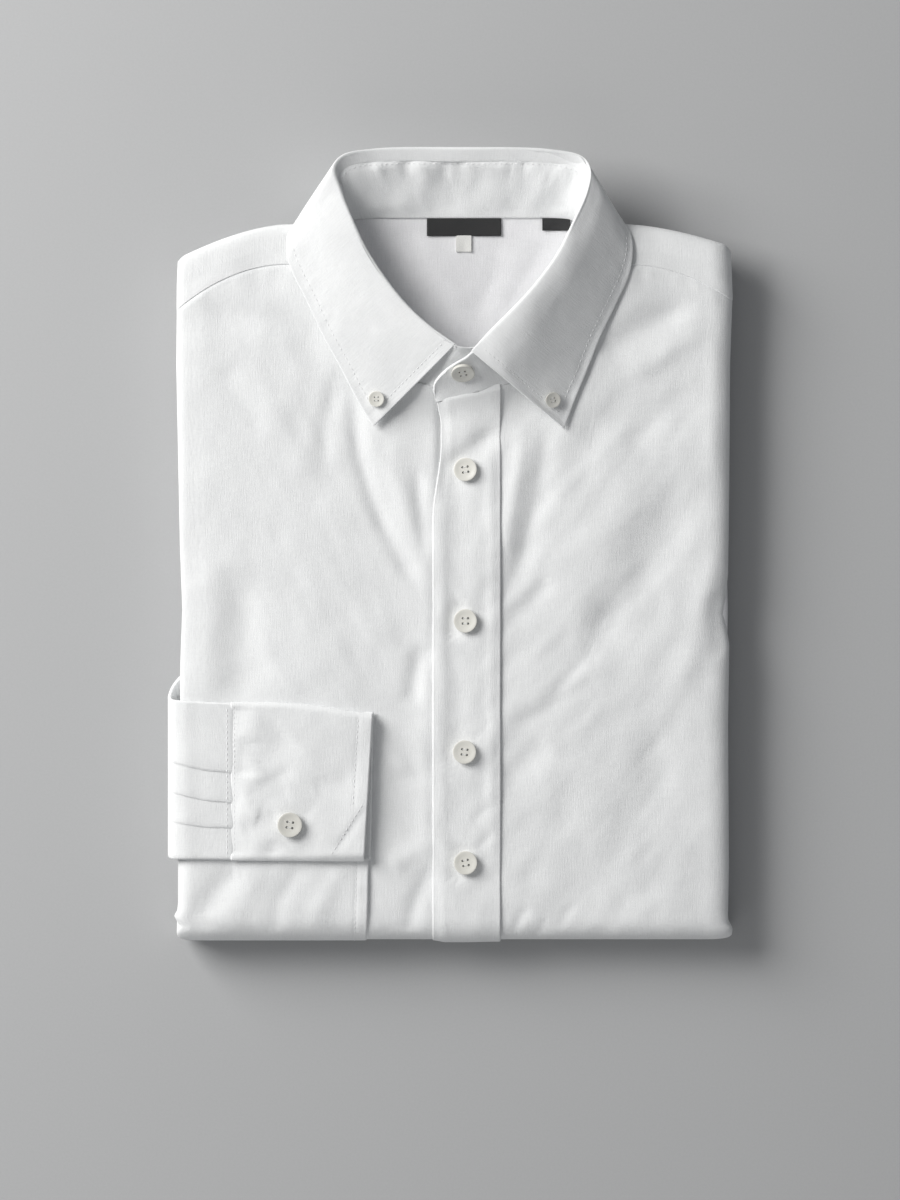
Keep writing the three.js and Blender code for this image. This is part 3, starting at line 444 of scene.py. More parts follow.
def creased(x, y, creases):
    """Height of these creases at each place. Each wanders and fades a little along its run."""
    x, y = np.broadcast_arrays(x, y)
    total = np.zeros(x.shape)
    for number, (height, near, far, run) in enumerate(creases):
        drift = np.random.default_rng(100 + number)
        run = np.array(run, float)
        length = np.linalg.norm(np.diff(run, axis=0), axis=1).sum()
        t = np.linspace(0, 1, max(8, int(length)))
        line = curve_through(run, t)
        knots = np.linspace(0, 1, max(3, int(length / 11)))
        line = line + np.c_[
            np.interp(t, knots, drift.uniform(-0.9, 0.9, len(knots))),
            np.interp(t, knots, drift.uniform(-0.9, 0.9, len(knots))),
        ]
        strength = np.interp(t, knots, drift.uniform(0.72, 1.2, len(knots)))
        strength = strength * smooth(-0.03, 0.22, t) * smooth(1.03, 0.78, t)
        reach = 2.6 * max(near, far)
        (x_low, y_low), (x_high, y_high) = line.min(0) - reach, line.max(0) + reach
        close = (x > x_low) & (x < x_high) & (y > y_low) & (y < y_high)
        off_x = x[close][:, None] - line[:, 0]
        off_y = y[close][:, None] - line[:, 1]
        away = off_x**2 + off_y**2
        nearest = away.argmin(1)
        pick = np.arange(len(nearest))
        away = np.sqrt(away[pick, nearest])
        side = off_x[pick, nearest] * TO_LIGHT[0] + off_y[pick, nearest] * TO_LIGHT[1]
        width = mix(far, near, 0.5 + 0.5 * side / np.maximum(away, 0.3))
        total[close] += height * strength[nearest] * bell(away, width)
    return total


def pulls(x, y):
    """Fine drawn lines slanting down to the placket, as the buttons hold the cloth there."""
    side = np.where(x < FRONT_MIDDLE, -1.0, 1.0)
    slant = np.where(x < FRONT_MIDDLE, math.radians(62), math.radians(48))
    out = np.abs(x - FRONT_MIDDLE)
    along = out * np.cos(slant) + y * np.sin(slant)
    aside = out * np.sin(slant) - y * np.cos(slant) + 300 * side
    lines = 0.4 * rumple(aside, along * 0.3, 12, 6) + 0.13 * rumple(aside, along * 0.35, 5.5, 7)
    return lines * smooth(0, 9, out) * smooth(132, 95, out)


def pressed_flat(x, y):
    """Nought where the collar or the folded sleeve presses the cloth flat, and one beyond."""
    collar = smooth(0.6, 1.0, np.hypot((x - 4) / 90, (y - 130) / 74))
    cuff = smooth(0.72, 1.2, np.hypot((x + 95) / 62, (y + 134) / 62))
    return collar * cuff


def front_relief(x, y):
    height = creased(x, y, FRONT_CREASES)
    height += 0.55 * rumple(x, y * 0.8, 34, 1) + 0.26 * rumple(x, y, 15, 2)
    height += 0.09 * rumple(x, y * 0.7, 7.5, 3) + pulls(x, y)
    height = np.clip(height, -2.1, 1.7) * (0.1 + 0.9 * pressed_flat(x, y))
    below = yoke_seam_y(x) - y
    puckers = 0.34 * rumple(x, y * 0.25, 4.5, 9) + 0.3 * rumple(x, y * 0.4, 9, 10)
    return height + puckers * bell(below, 8) * smooth(0, 3, below)


def yoke_seam_y(x):
    return YOKE_SEAM_Y - np.where(x < 0, 23, 18) * shoulder_slope(x) ** 2


def front_top_y(x):
    """The neckline between the two yoke seams, and those seams beyond it."""
    out = np.clip((x - NECK_X) / NECK_HALF, -1, 1)
    neckline = np.where(np.abs(out) < 1, NECK_Y - NECK_DEPTH * np.sqrt(1 - out * out), YOKE_SEAM_Y)
    return np.minimum(neckline, yoke_seam_y(x))


# How far each side fold wanders from a straight line: places along it, and how far out.
SIDE_WANDER = {
    -1: (
        [-198, -196.5, -194.5, -192.5, -191, -189, -186, -183.5, -180, -165, -60, -33, 0, 40, 90, 130, 150],
        [-0.6, 0.6, 1.0, 0.3, -0.8, 0.5, 2.2, 0.6, 0.1, 0.1, -0.4, -1.4, -0.2, 0.6, 1.6, 1.2, 0.4],
    ),
    1: (
        [-198, -196, -193, -191.4, -190.4, -186, -160, -90, -50, -35, -15, 30, 90, 124, 150],
        [-1.2, -0.1, 0.1, -0.3, -1.8, -2.2, -1.8, -2.2, -1.6, -4.2, -2.2, -1.6, -1.2, 0.0, -1.0],
    ),
}


def neck_rise(x, y):
    """The fronts slope up into the collar stand, where it stands up from them."""
    return 5.2 * np.clip((y - 60) / 17, 0, 1.15) ** 2 * smooth(38, 13, np.abs(x - 3))


def rolled_x(across):
    """Where a place on the flat cloth ends up, once rolled over the side, and its angle there."""
    phi = np.maximum(0, np.abs(across) - SIDE_FLAT) / SIDE_ARC
    crisp = np.where(across < 0, CRISP[-1], CRISP[1])
    out = np.minimum(np.abs(across), SIDE_FLAT) + SIDE_ROLL * np.sin(phi) ** crisp
    return np.sign(across) * out, phi, crisp


def oval(angle, power):
    """The cosine, drawn out to a squarer turn where the power is below one."""
    return np.sign(np.cos(angle)) * np.abs(np.cos(angle)) ** power


def body_point(across, along, relief=front_relief):
    """The outer face of the folded body, from a place on the flat cloth."""
    x, phi, crisp = rolled_x(across)
    roll_from = shoulder_y(x) - SHOULDER_ROLL
    psi = np.maximum(0, along - roll_from) / SHOULDER_ARC
    theta = np.maximum(0, FOLD_AXIS_Y - along) / FOLD_ARC
    squareness = 1 - np.where(across < 0, 0.5, 0.72) * np.sin(np.minimum(theta, math.pi / 2))
    sideways = oval(phi, crisp * squareness)
    over = oval(psi, CRISP_SHOULDER)
    down = oval(theta, CRISP_FOLD)
    rise = np.where((sideways < 0) & (over < 0), -sideways * over, sideways * over)
    radial = SLAB * (1 + rise)
    y = np.where(psi > 0, roll_from + SHOULDER_ROLL * np.sin(psi) ** CRISP_SHOULDER, along)
    round_fold = FOLD_AXIS_Y - FOLD_REACH / (BODY_HEIGHT / 2) * radial * np.sin(theta) ** CRISP_FOLD
    y = np.where(theta > 0, round_fold, y)
    on_top = (np.maximum(0, np.cos(phi)) * np.maximum(0, over) * np.maximum(0, np.cos(theta))) ** 1.2
    z = BODY_HEIGHT / 2 + radial * down + (relief(x, along) + neck_rise(x, along)) * on_top
    wander = np.where(x < 0, np.interp(y, *SIDE_WANDER[-1]), np.interp(y, *SIDE_WANDER[1]))
    x = x + np.sign(x) * wander * smooth(0.6, 1, np.abs(x) / HALF_WIDTH)
    return np.stack([x, y, z], -1)


def unit(vectors):
    return vectors / np.maximum(np.linalg.norm(vectors, axis=-1, keepdims=True), 1e-9)


def slopes(face, closed=False):
    """Steps over the rows and along them, in a grid of points."""
    if closed:
        first = np.roll(face, -1, 0) - np.roll(face, 1, 0)
    else:
        first = np.gradient(face, axis=0)
    return first, np.gradient(face, axis=1)


def face_normals(face, closed=False):
    first, second = slopes(face, closed)
    return unit(np.cross(first, second))


RIM_STEPS = 4  # flats round the edge of a wall of cloth


def shell(name, face, cloth, thickness, closed=False):
    """A wall of cloth behind its outer face, a grid of points, with its edges rounded over."""
    face = face.copy()
    n, m = face.shape[:2]
    first, second = slopes(face, closed)
    normals = unit(np.cross(first, second))
    outward = np.zeros(face.shape)
    if not closed:
        outward[0] -= unit(first[0])
        outward[-1] += unit(first[-1])
    outward[:, 0] -= unit(second[:, 0])
    outward[:, -1] += unit(second[:, -1])
    outward -= normals * (outward * normals).sum(-1, keepdims=True)
    outward = unit(outward)
    thickness = np.broadcast_to(np.asarray(thickness, float), (n, m))[..., None]
    half = thickness / 2
    edge = np.zeros((n, m), bool)
    edge[:, [0, -1]] = True
    if not closed:
        edge[[0, -1]] = True
    face[edge] -= outward[edge] * half[edge]
    number = np.arange(n * m).reshape(n, m)
    if closed:
        loops = [number[:, 0], number[::-1, -1]]
    else:
        loops = [np.concatenate([number[:-1, 0], number[-1, :-1], number[:0:-1, -1], number[0, :0:-1]])]
    flat_face, flat_normals, flat_out = (a.reshape(-1, 3) for a in (face, normals, outward))
    flat_cloth = cloth.reshape(-1, 2)
    points = [flat_face, flat_face - flat_normals * thickness.reshape(-1, 1)]
    uv = [flat_cloth, flat_cloth]
    wrap = number if not closed else np.vstack([number, number[:1]])
    a, b, c, d = (q.ravel() for q in (wrap[:-1, :-1], wrap[1:, :-1], wrap[1:, 1:], wrap[:-1, 1:]))
    faces = [np.c_[a, b, c, d], np.c_[d, c, b, a] + n * m]
    base = 2 * n * m
    for loop in loops:
        before = loop
        for step in range(1, RIM_STEPS + 1):
            angle = math.pi * step / RIM_STEPS
            if step < RIM_STEPS:
                deep = half.reshape(-1, 1)[loop]
                lift = deep * (math.cos(angle) - 1)
                ring = flat_face[loop] + flat_normals[loop] * lift + flat_out[loop] * deep * math.sin(angle)
                points.append(ring)
                uv.append(flat_cloth[loop])
                after = base + np.arange(len(loop))
                base += len(loop)
            else:
                after = loop + n * m
            faces.append(np.c_[before, after, np.roll(after, -1), np.roll(before, -1)])
            before = after
    return make_piece(name, np.vstack(points), np.vstack(faces).tolist(), np.vstack(uv))


def panel(across, low, high, rows, relief=front_relief, lift=0.0):
    """A grid on the folded body, between two lines along it, and its place on the flat cloth."""
    reach = rolled_x(across)[0]
    v = np.linspace(0, 1, rows)
    along = mix(low(reach)[:, None], high(reach)[:, None], v[None])
    across = np.repeat(across[:, None], rows, 1)
    face = body_point(across, along, relief)
    if lift:
        face = face + face_normals(face) * lift
    return face, np.stack([across, along], -1)


PLACKET_FROM, PLACKET_TO = -11.7, 22.3  # the two edges of the strip that covers the front edges


def front_edge_y(x):
    """The cut upper edge: a little way under the yoke, and just inside the neck seam."""
    return front_top_y(x) + np.where(np.abs(x - NECK_X) > NECK_HALF, 1.6, 2.8)


def under_placket(x, y):
    """The fronts lie lower where the placket or the yoke covers them."""
    inside = smooth(PLACKET_FROM + 1, PLACKET_FROM + 5, x) * smooth(PLACKET_TO - 1, PLACKET_TO - 5, x)
    in_seam = smooth(-0.8, 1.2, y - yoke_seam_y(x)) * (np.abs(x - NECK_X) > NECK_HALF)
    in_neck = smooth(0.99, 0.93, np.hypot((x - NECK_X) / NECK_HALF, (y - NECK_Y) / NECK_DEPTH))
    return front_relief(x, y) - 1.4 * inside - 0.9 * in_seam - 0.6 * in_neck


for side, name in ((-1, "right"), (1, "left")):
    ends = sorted((FRONT_MIDDLE + side * GAP, side * SIDE_EDGE))
    face, cloth = panel(
        np.linspace(*ends, 104),
        low=lambda x: np.full(x.shape, BOTTOM_EDGE),
        high=front_edge_y,
        rows=250,
        relief=under_placket,
    )
    front = shell(f"{name}_front", face, cloth, CLOTH)
    front.data.materials.append(OUTER_LINEN)
    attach(front, "root")
    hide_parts(f"front_{name}")

# ---------------------------------------------------------------- the yoke
# Two layers of linen over the shoulders, sewn to the fronts with a flat seam. Only the strip
# between that seam and the shoulder fold shows, with the seam's small puckers below it.
YOKE_EDGE = SIDE_FLAT + SIDE_ARC * 2.15
OVER_SHOULDER = SHOULDER_ARC * 1.9
OVER_SEAM = 0.4  # of the yoke, over the fronts' upper edge
YOKE_LIFT = 0.12  # its two layers stand this much over the fronts


def yoke_relief(x, y):
    seam = y - yoke_seam_y(x)
    soft = 0.35 * rumple(x, y, 30, 12) + 0.1 * rumple(x, y, 9, 13)
    lean = 1.5 * smooth(68, 122, x) * (x > 0)
    return mix(front_relief(x, y), soft + lean, smooth(0, 11, seam))


for side, name in ((-1, "right"), (1, "left")):
    ends = sorted((NECK_X + side * (NECK_HALF + 0.5), side * YOKE_EDGE))
    face, cloth = panel(
        np.linspace(*ends, 84),
        low=lambda x: yoke_seam_y(x) - OVER_SEAM,
        high=lambda x: shoulder_y(x) - SHOULDER_ROLL + OVER_SHOULDER,
        rows=44,
        relief=yoke_relief,
        lift=YOKE_LIFT,
    )
    # Where it turns over both the side and the shoulder, the corner is pressed thin.
    past_side = (np.abs(cloth[..., 0]) - SIDE_FLAT) / SIDE_ARC
    past_shoulder = (cloth[..., 1] - shoulder_y(face[..., 0]) + SHOULDER_ROLL) / SHOULDER_ARC
    pressed = 1.1 * smooth(1.3, 1.6, past_side) * smooth(1.3, 1.6, past_shoulder)
    yoke = shell(f"{name}_yoke", face, cloth, CLOTH - pressed)
    yoke.data.materials.append(OUTER_LINEN)
    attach(yoke, "root")
    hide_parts(f"yoke_{name}")

# ---------------------------------------------------------------- inside of the back
# The back and the yoke lining, seen through the neck: linen, inner side up, sewn into the stand
# along its top edge and lying loose over the layers below.
BACK_NECK_Y = 164.6
BACK_CREASES = [
    (-0.8, 5, 5, [(-40, 150), (-25, 128), (-14, 108)]),
    (0.6, 6, 6, [(-22, 156), (-4, 132), (4, 104)]),
    (-0.6, 5, 5, [(22, 156), (18, 132), (8, 112)]),
    (-0.5, 5, 5, [(46, 152), (36, 134), (26, 116)]),
]


def neck_floor(x, y):
    sag = np.cos((x - NECK_X) / 30) * np.sin((161.4 - y) / 27)
    rise = creased(x, y, BACK_CREASES) + 0.35 * rumple(x, y, 22, 31) + 0.1 * rumple(x, y, 9, 32)
    return NECK_FLOOR - 0.5 * sag + rise * smooth(BACK_NECK_Y, BACK_NECK_Y - 12, y)


u, v = np.meshgrid(np.linspace(-1, 1, 96), np.linspace(0, 1, 70), indexing="ij")
near_edge = NECK_Y - (NECK_DEPTH - 8) * np.sqrt(1 - 0.96 * u * u)
x = NECK_X + (NECK_HALF - 4 - 6 * v * v) * u
y = mix(near_edge, BACK_NECK_Y, v)
inner_back = shell("inner_back", np.stack([x, y, neck_floor(x, y)], -1), np.stack([x, y], -1), CLOTH)
# The inside of the back takes the linen with painted shade.
inner_back.data.materials.append(SHADED_LINEN)
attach(inner_back, "root")
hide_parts("back_inside")

# ---------------------------------------------------------------- the placket
# A strip of the left front's linen, folded double and stitched down both edges, with the
# buttonholes. It lies over the right front, from the stand to the bottom fold and round it.
PLACKET_CREASES = [
    (-0.7, 7, 7, [(2, 66), (0, 20), (1, -60), (1, -130), (2, -180)]),
    (-1.55, 4.8, 7.5, [(27, 60), (15, 52.5), (6.5, 46.5), (-1.5, 41), (-4, 33), (-5, 18)]),
    (-0.9, 5, 5, [(6, -28), (-1, -36), (-3, -50)]),
    (-0.6, 6, 6, [(4, -92), (-1, -100), (-3, -114)]),
    (-0.8, 4.5, 4.5, [(4, -148), (1, -158), (-1, -172)]),
    (-0.3, 2.5, 2.5, [(18, -88), (13, -93), (9, -98)]),
    (-0.4, 3, 3, [(19, -131), (14, -135), (8, -139)]),
    (-0.4, 3, 3, [(19, -144), (14, -149), (10, -153)]),
    (0.5, 3, 3, [(18, 62), (18, 0), (18, -90), (18, -180)]),
    (0.4, 3, 3, [(-9, 60), (-8.5, 0), (-9, -90), (-9, -180)]),
]


def placket_relief(x, y):
    soft = 0.22 * rumple(x * 1.5, y * 0.8, 16, 41) + 0.07 * rumple(x, y, 7, 42)
    return front_relief(x, y) * 0.75 + np.clip(creased(x, y, PLACKET_CREASES) + soft, -2.1, 1.1)


PLACKET_WALL = 1.0
PLACKET_TOP_Y = 77.0  # at its left edge; the right one is lower, and both go on into the stand
PLACKET_TOP_DROP = 6.2
INTO_STAND = 4.0

u = np.linspace(0, 1, 44)[:, None]
v = np.linspace(0, 1, 300)[None]
top_edge = PLACKET_TOP_Y - PLACKET_TOP_DROP * (1 - u)
along = mix(BOTTOM_EDGE, top_edge + INTO_STAND, v)
swing = 4 * smooth(12, 50, along) - 1.8 * smooth(60, 72, along)
across = mix(PLACKET_FROM + swing, PLACKET_TO, u)
placket_face = body_point(across, along, placket_relief)
# It lies low along its right edge, and sinks into the seam at the top.
placket_lift = mix(1.5, 1.2, smooth(0.4, 1, u)) - 0.95 * smooth(0.2, 0, u)
placket_lift = placket_lift - 1.3 * smooth(0.3, 3.4, along - top_edge)
placket_face += face_normals(placket_face) * placket_lift[..., None]
placket = shell("front_placket", placket_face, np.stack([across, along], -1), PLACKET_WALL)
placket.data.materials.append(OUTER_LINEN)
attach(placket, "root")
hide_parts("placket")

# ---------------------------------------------------------------- the collar leaf
# The fall of the collar: two layers of linen with stiff interfacing between them, turned out and
# topstitched 5 mm from the edge. It folds over the stand, and its points are buttoned down.
COLLAR = [
    # roll line, neck seam and outer edge, from the right point round the back to the left point
    [(0.2, 99.2, 39), (-7, 77.3, 29.2), (-41.3, 58.6, 28.2)],
    [(-12.4, 108.2, 38.2), (-21, 81.8, 27), (-50, 73, 28.6)],
    [(-22.9, 117.7, 37.6), (-35, 90.5, 24.4), (-58, 88.4, 29)],
    [(-33.8, 130.7, 37.4), (-46, 101.6, 23.9), (-66.5, 104, 29.6)],
    [(-44.6, 147, 37.4), (-53.5, 116, 23.7), (-75, 122, 29.8)],
    [(-52.2, 163.2, 37.2), (-57, 134, 22.5), (-82.5, 137.2, 29.6)],
    [(-57.6, 177, 36.6), (-57.5, 150, 20.2), (-85, 147, 28.6)],
    [(-60.5, 187.5, 36.6), (-55, 160, 18.9), (-83.8, 156, 25)],
    [(-56.5, 193.8, 34.6), (-46, 163.6, 18.5), (-73, 165, 13)],
    [(-41, 197.2, 31.3), (-32, 163.8, 18.5), (-54, 171, 3.4)],
    [(2, 198, 30.2), (2, 163.8, 18.5), (2, 173.5, 1.8)],
    [(47, 197, 31), (38, 163.8, 18.5), (60, 171, 3.4)],
    [(62.3, 193.5, 33), (52, 163.6, 18.5), (79, 165, 13)],
    [(66.4, 187, 37.4), (61, 160, 18.9), (87.3, 156, 25)],
    [(65, 176, 40.8), (64.5, 150, 20.2), (88.5, 147, 27)],
    [(58.6, 161, 42.9), (64, 134, 22.5), (86.8, 135, 26.4)],
    [(49.5, 143.5, 43.9), (61, 116, 23.7), (80, 119.5, 26.4)],
    [(38.4, 128.5, 44), (54, 101.6, 23.9), (72.5, 104, 26.4)],
    [(27, 116.3, 44), (43, 90.2, 24.4), (65.5, 86.5, 26.6)],
    [(16.5, 105.8, 43.8), (29, 81.6, 27.3), (59.3, 71.5, 26.9)],
    [(7.2, 95.6, 42.8), (16, 78.4, 29.6), (54.1, 57.5, 27.6)],
]
ROLL_LINE, SEAM_LINE, EDGE_LINE = ([row[k] for row in COLLAR] for k in range(3))
# At the back the stand's lower edge lies on the back's, sewn down.
SEAM_LINE = [(x, y - 0.9, z + 0.7) if y > 163 else (x, y, z) for x, y, z in SEAM_LINE]
INTERFACED = 1.5  # a wall of cloth with stiffening in it
ROLL_RADIUS = 1.3
LEAF_INSIDE = 6.0  # of the leaf, down inside the roll
ROLL_FROM, ROLL_TO = 0.15, 0.4  # the shares of its rows where the leaf turns over
STITCH_IN = 5.0


def leaf_points(u, v):
    """The leaf's visible face: up the inside, over the roll and down to the edge."""
    roll, seam, edge = (curve_through(line, u)[:, None] for line in (ROLL_LINE, SEAM_LINE, EDGE_LINE))
    # It leaves the roll nearly level, then slopes evenly; the right half stays flatter.
    up = np.array([0, 0, 1.0])
    full = smooth(0.3, 0.7, u)[:, None, None]
    turned = mix(0.42, 0.3, full)
    bowed = mix(0.8, 2.3, full)
    inside, outside = unit(seam - roll), unit(edge - roll + up * 2 * bowed / turned)
    down = unit(inside + outside)
    lean = (outside * down).sum(-1, keepdims=True)
    across = unit(outside - down * lean)
    turn = math.pi / 2 - np.arccos(np.clip(lean, -1, 1))
    # The leaf is creased sharper at its two front ends, and less of it shows inside.
    loose = (smooth(0, 0.05, u) * smooth(1, 0.95, u))[:, None, None]
    radius = ROLL_RADIUS * (0.5 + 0.5 * loose)
    centre = roll + down * radius
    v = v[None, :, None]

    def arc(angle):
        return centre - down * radius * np.cos(angle) + across * radius * np.sin(angle)

    foot = arc(-turn) + inside * mix(1.8, LEAF_INSIDE, loose) * (1 - v / ROLL_FROM)
    over = arc(mix(-turn, turn, (v - ROLL_FROM) / (ROLL_TO - ROLL_FROM)))
    t = np.clip((v - ROLL_TO) / (1 - ROLL_TO), 0, 1)
    bow = np.where(t < turned, t / turned * (2 - t / turned), (1 - t) / (1 - turned)) * bowed
    ends = smooth(0.1, 0, u)[:, None, None] * 1.2 + smooth(0.9, 1, u)[:, None, None] * 0.6
    fall = mix(arc(turn), edge, t) + up * (bow - ends * np.sin(math.pi * t) ** 1.5)
    return np.where(v < ROLL_FROM, foot, np.where(v < ROLL_TO, over, fall))


def run_length(face, axis):
    """How far along the cloth each point of a grid lies."""
    steps = np.linalg.norm(np.diff(face, axis=axis), axis=-1)
    return np.concatenate([np.zeros_like(np.take(steps, [0], axis)), np.cumsum(steps, axis)], axis)


def ripples(s, d, reach, size, seed):
    """Puckers beside a line of stitching: s along it, d away from it."""
    return rumple(s, d * 0.25, size, seed) * bell(d, reach)


leaf_u = np.linspace(0, 1, 420)
leaf_v = np.r_[
    np.linspace(0, ROLL_FROM, 6)[:-1],
    np.linspace(ROLL_FROM, ROLL_TO, 9)[:-1],
    np.linspace(ROLL_TO, 1, 46),
]
leaf_face = leaf_points(leaf_u, leaf_v)
leaf_across = run_length(leaf_face, 1)
leaf_along = run_length(leaf_face, 0)
from_edge = leaf_across[:, -1:] - leaf_across
leaf_mid = leaf_along[:, 40:41]
from_end = np.minimum(leaf_along, leaf_along[-1:] - leaf_along)
from_rim = np.minimum(from_edge, from_end)
on_fall = smooth(0.3, 0.5, leaf_v)[None]
leaf_relief = 0.45 * rumple(leaf_mid, leaf_across, 30, 51) + 0.16 * rumple(leaf_mid, leaf_across, 12, 52)
leaf_relief += 0.06 * rumple(leaf_mid, leaf_across, 6, 53)
leaf_relief -= rumple(leaf_mid, leaf_across, 26, 55) * smooth(0.55, 0.7, leaf_u)[:, None]
leaf_relief += 0.14 * ripples(leaf_mid, from_edge - STITCH_IN, 4, 4.0, 54)
leaf_relief -= 0.09 * bell(from_rim - STITCH_IN, 0.8)
leaf_face += face_normals(leaf_face) * (leaf_relief * on_fall * smooth(0, 3, from_rim))[..., None]
leaf_cloth = np.stack([leaf_mid + 0 * leaf_across, leaf_across], -1)
# It is pared thin where it is sewn to the stand, and pressed thin along its edge.
leaf_wall = mix(0.5, INTERFACED, smooth(0, 3.5, leaf_across))
leaf_wall = leaf_wall - 0.85 * smooth(3, 0, from_rim) * on_fall
leaf = shell("collar_fall", leaf_face, leaf_cloth, leaf_wall)
leaf.data.materials.append(OUTER_LINEN)
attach(leaf, "root")
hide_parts("collar_leaf")


def on_grid(grid, i, j):
    """A grid's value between its points."""
    i, j = np.asarray(i, float), np.asarray(j, float)
    a = np.clip(i.astype(int), 0, grid.shape[0] - 2)
    b = np.clip(j.astype(int), 0, grid.shape[1] - 2)
    s, t = (i - a)[..., None], (j - b)[..., None]
    low = mix(grid[a, b], grid[a + 1, b], s)
    high = mix(grid[a, b + 1], grid[a + 1, b + 1], s)
    return mix(low, high, t)


def finish_of_thread():
    material, strand = new_finish("sewing thread")
    place = strand.node("ShaderNodeTexCoord", (), (), 3)
    colour = strand.blend(strand.noise(place, 1600.0, 1.0), (0.74, 0.745, 0.75), (0.88, 0.885, 0.89))
    surface(strand, {"Base Color": colour, "Roughness": 0.6, "Sheen Weight": 0.1})
    return material


THREAD = finish_of_thread()
STITCH = 2.1  # length of a stitch; the next one starts a little further on
PITCH = 2.75
FIRST_STITCH = 0.6  # from the end of its row
STITCH_RADIUS = 0.23
THREAD_SIDES = 6
ROUND = np.arange(THREAD_SIDES) * 2 * math.pi / THREAD_SIDES


def read_off(wanted, lengths, values):
    """The values of points along a line, at the wanted lengths along it."""
    return np.stack([np.interp(wanted, lengths, values[:, k]) for k in range(3)], -1)


def sew(name, runs):
    """Rows of stitches on a cloth face. Each run is its points and the cloth's normals there."""
    points, faces = [], []
    shares = np.linspace(0, 1, 5)
    for path, normals in runs:
        lengths = np.concatenate([[0], np.cumsum(np.linalg.norm(np.diff(path, axis=0), axis=1))])
        for start in np.arange(FIRST_STITCH, lengths[-1] - STITCH, PITCH):
            centre = read_off(start + shares * STITCH, lengths, path)
            up = unit(read_off(start + STITCH / 2, lengths, normals))
            aside = np.cross(up, unit(centre[-1] - centre[0]))
            faces += tube_faces(len(points), len(shares), THREAD_SIDES)
            for share, spot in zip(shares, centre):
                near_end = (2 * share - 1) ** 4  # both ends are thin, and sink into the cloth
                thick = STITCH_RADIUS * (1 - 0.75 * near_end)
                middle = spot - up * (0.02 + 0.2 * near_end)
                points += [middle + thick * (up * math.sin(a) + aside * math.cos(a)) for a in ROUND]
    points = np.array(points)
    piece = make_piece(name, points, faces, points[:, :2])
    piece.data.materials.append(THREAD)
    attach(piece, "root")
    return piece


def seam_on(face, i, j):
    """A line of stitching on a cloth face: its points, and the cloth's normals there."""
    return on_grid(face, i, j), on_grid(face_normals(face), i, j)


def line_at(values, wanted):
    """Where each row of a rising or falling grid reaches a wanted value."""
    places = []
    for row in values:
        order = row if row[-1] > row[0] else row[::-1]
        at = np.interp(wanted, order, np.arange(len(order)))
        places.append(at if row[-1] > row[0] else len(row) - 1 - at)
    return np.array(places)


# One row runs round the outer edge, from one front end's row to the other's.
edge_j = line_at(from_edge, STITCH_IN)
rows = np.arange(len(leaf_u))
edge_i = rows[from_end[rows, edge_j.astype(int)] > STITCH_IN]
runs = [seam_on(leaf_face, edge_i, edge_j[edge_i])]
columns = np.arange(15, len(leaf_v) - 4)
for ends in (leaf_along, leaf_along[-1:] - leaf_along):
    runs.append(seam_on(leaf_face, line_at(ends.T[columns], STITCH_IN), columns))
leaf_stitches = sew("collar_fall_stitches", runs)

# ---------------------------------------------------------------- the collar stand
# The band that holds the leaf up: interfaced linen, sewn to the neckline along its lower edge and
# to the leaf along its upper edge. Its left end buttons over its right end.
UNDER_LEAF = 2.0  # of the stand, sewn in behind the leaf
BAND_STITCH_DOWN = 1.1  # from the leaf's seam to the row of stitches below it
leaf_foot = leaf_points(np.linspace(0, 1, 41), np.array([0.0]))[:, 0]
ring_seam = curve_through(SEAM_LINE, np.linspace(0, 1, 41))
ring_top = leaf_foot - unit(ring_seam - leaf_foot) * UNDER_LEAF
# Right end under the left one, then round the neck, then the left end sewn into the placket's top.
STAND_SEAM = [(12, 78.4, 28.4), (3, 77.6, 28.6), *ring_seam]
for x, y in ((10.8, 75.9), (5, 74.4), (-1.5, 72.7), (-6, 71.5), (-8.2, 70.9), (-9.4, 70.6)):
    STAND_SEAM.append((x, y, float(body_point(x, y, placket_relief)[2]) - 0.62))
STAND_TOP = [
    (12.5, 98.8, 36.4), (6.2, 98, 37.6), *ring_top, (4.6, 93.4, 41.7), (0.6, 91.2, 40.4),
    (-4, 88.3, 38.4), (-8.4, 84.4, 35.2), (-11.2, 80.2, 31.8), (-11.8, 76.6, 29.3),
]
stand_u = np.linspace(0, 1, 460)
stand_v = np.linspace(0, 1, 30)
stand_face = mix(
    curve_through(STAND_SEAM, stand_u)[:, None],
    curve_through(STAND_TOP, stand_u)[:, None],
    stand_v[None, :, None],
)
stand_up = run_length(stand_face, 1)
stand_round = run_length(stand_face, 0)[:, 15:16]
from_top = stand_up[:, -1:] - stand_up
from_foot = from_top - UNDER_LEAF
stand_relief = 1.1 * rumple(stand_round, stand_up * 0.6, 17, 61)
stand_relief += 0.6 * rumple(stand_round, stand_up * 0.6, 8, 62)
stand_relief = stand_relief * smooth(0, 8, stand_up) * smooth(-1, 4, from_foot)
stand_relief += ripples(stand_round, from_foot - 1.2, 8, 4.4, 63) * smooth(-0.5, 1.2, from_foot)
stand_relief -= 0.12 * bell(from_foot - BAND_STITCH_DOWN, 0.7)
stand_relief -= 0.4 * smooth(0.6, -0.4, from_foot)
stand_relief += (2.2 * ((stand_face[..., 0] - 2) / 50) ** 2 - 0.8) * np.sin(math.pi * stand_v)
at_back = smooth(0.16, 0.3, stand_u) * smooth(0.74, 0.6, stand_u)
stand_face += face_normals(stand_face) * (stand_relief * at_back[:, None])[..., None]
end_sag = 2.2 * smooth(0.15, 0.07, stand_u) + 1.3 * smooth(0.86, 0.92, stand_u)
stand_face[..., 2] -= end_sag[:, None] * np.sin(math.pi * stand_v)
stand_cloth = np.stack([stand_round + 0 * stand_up, stand_up], -1)
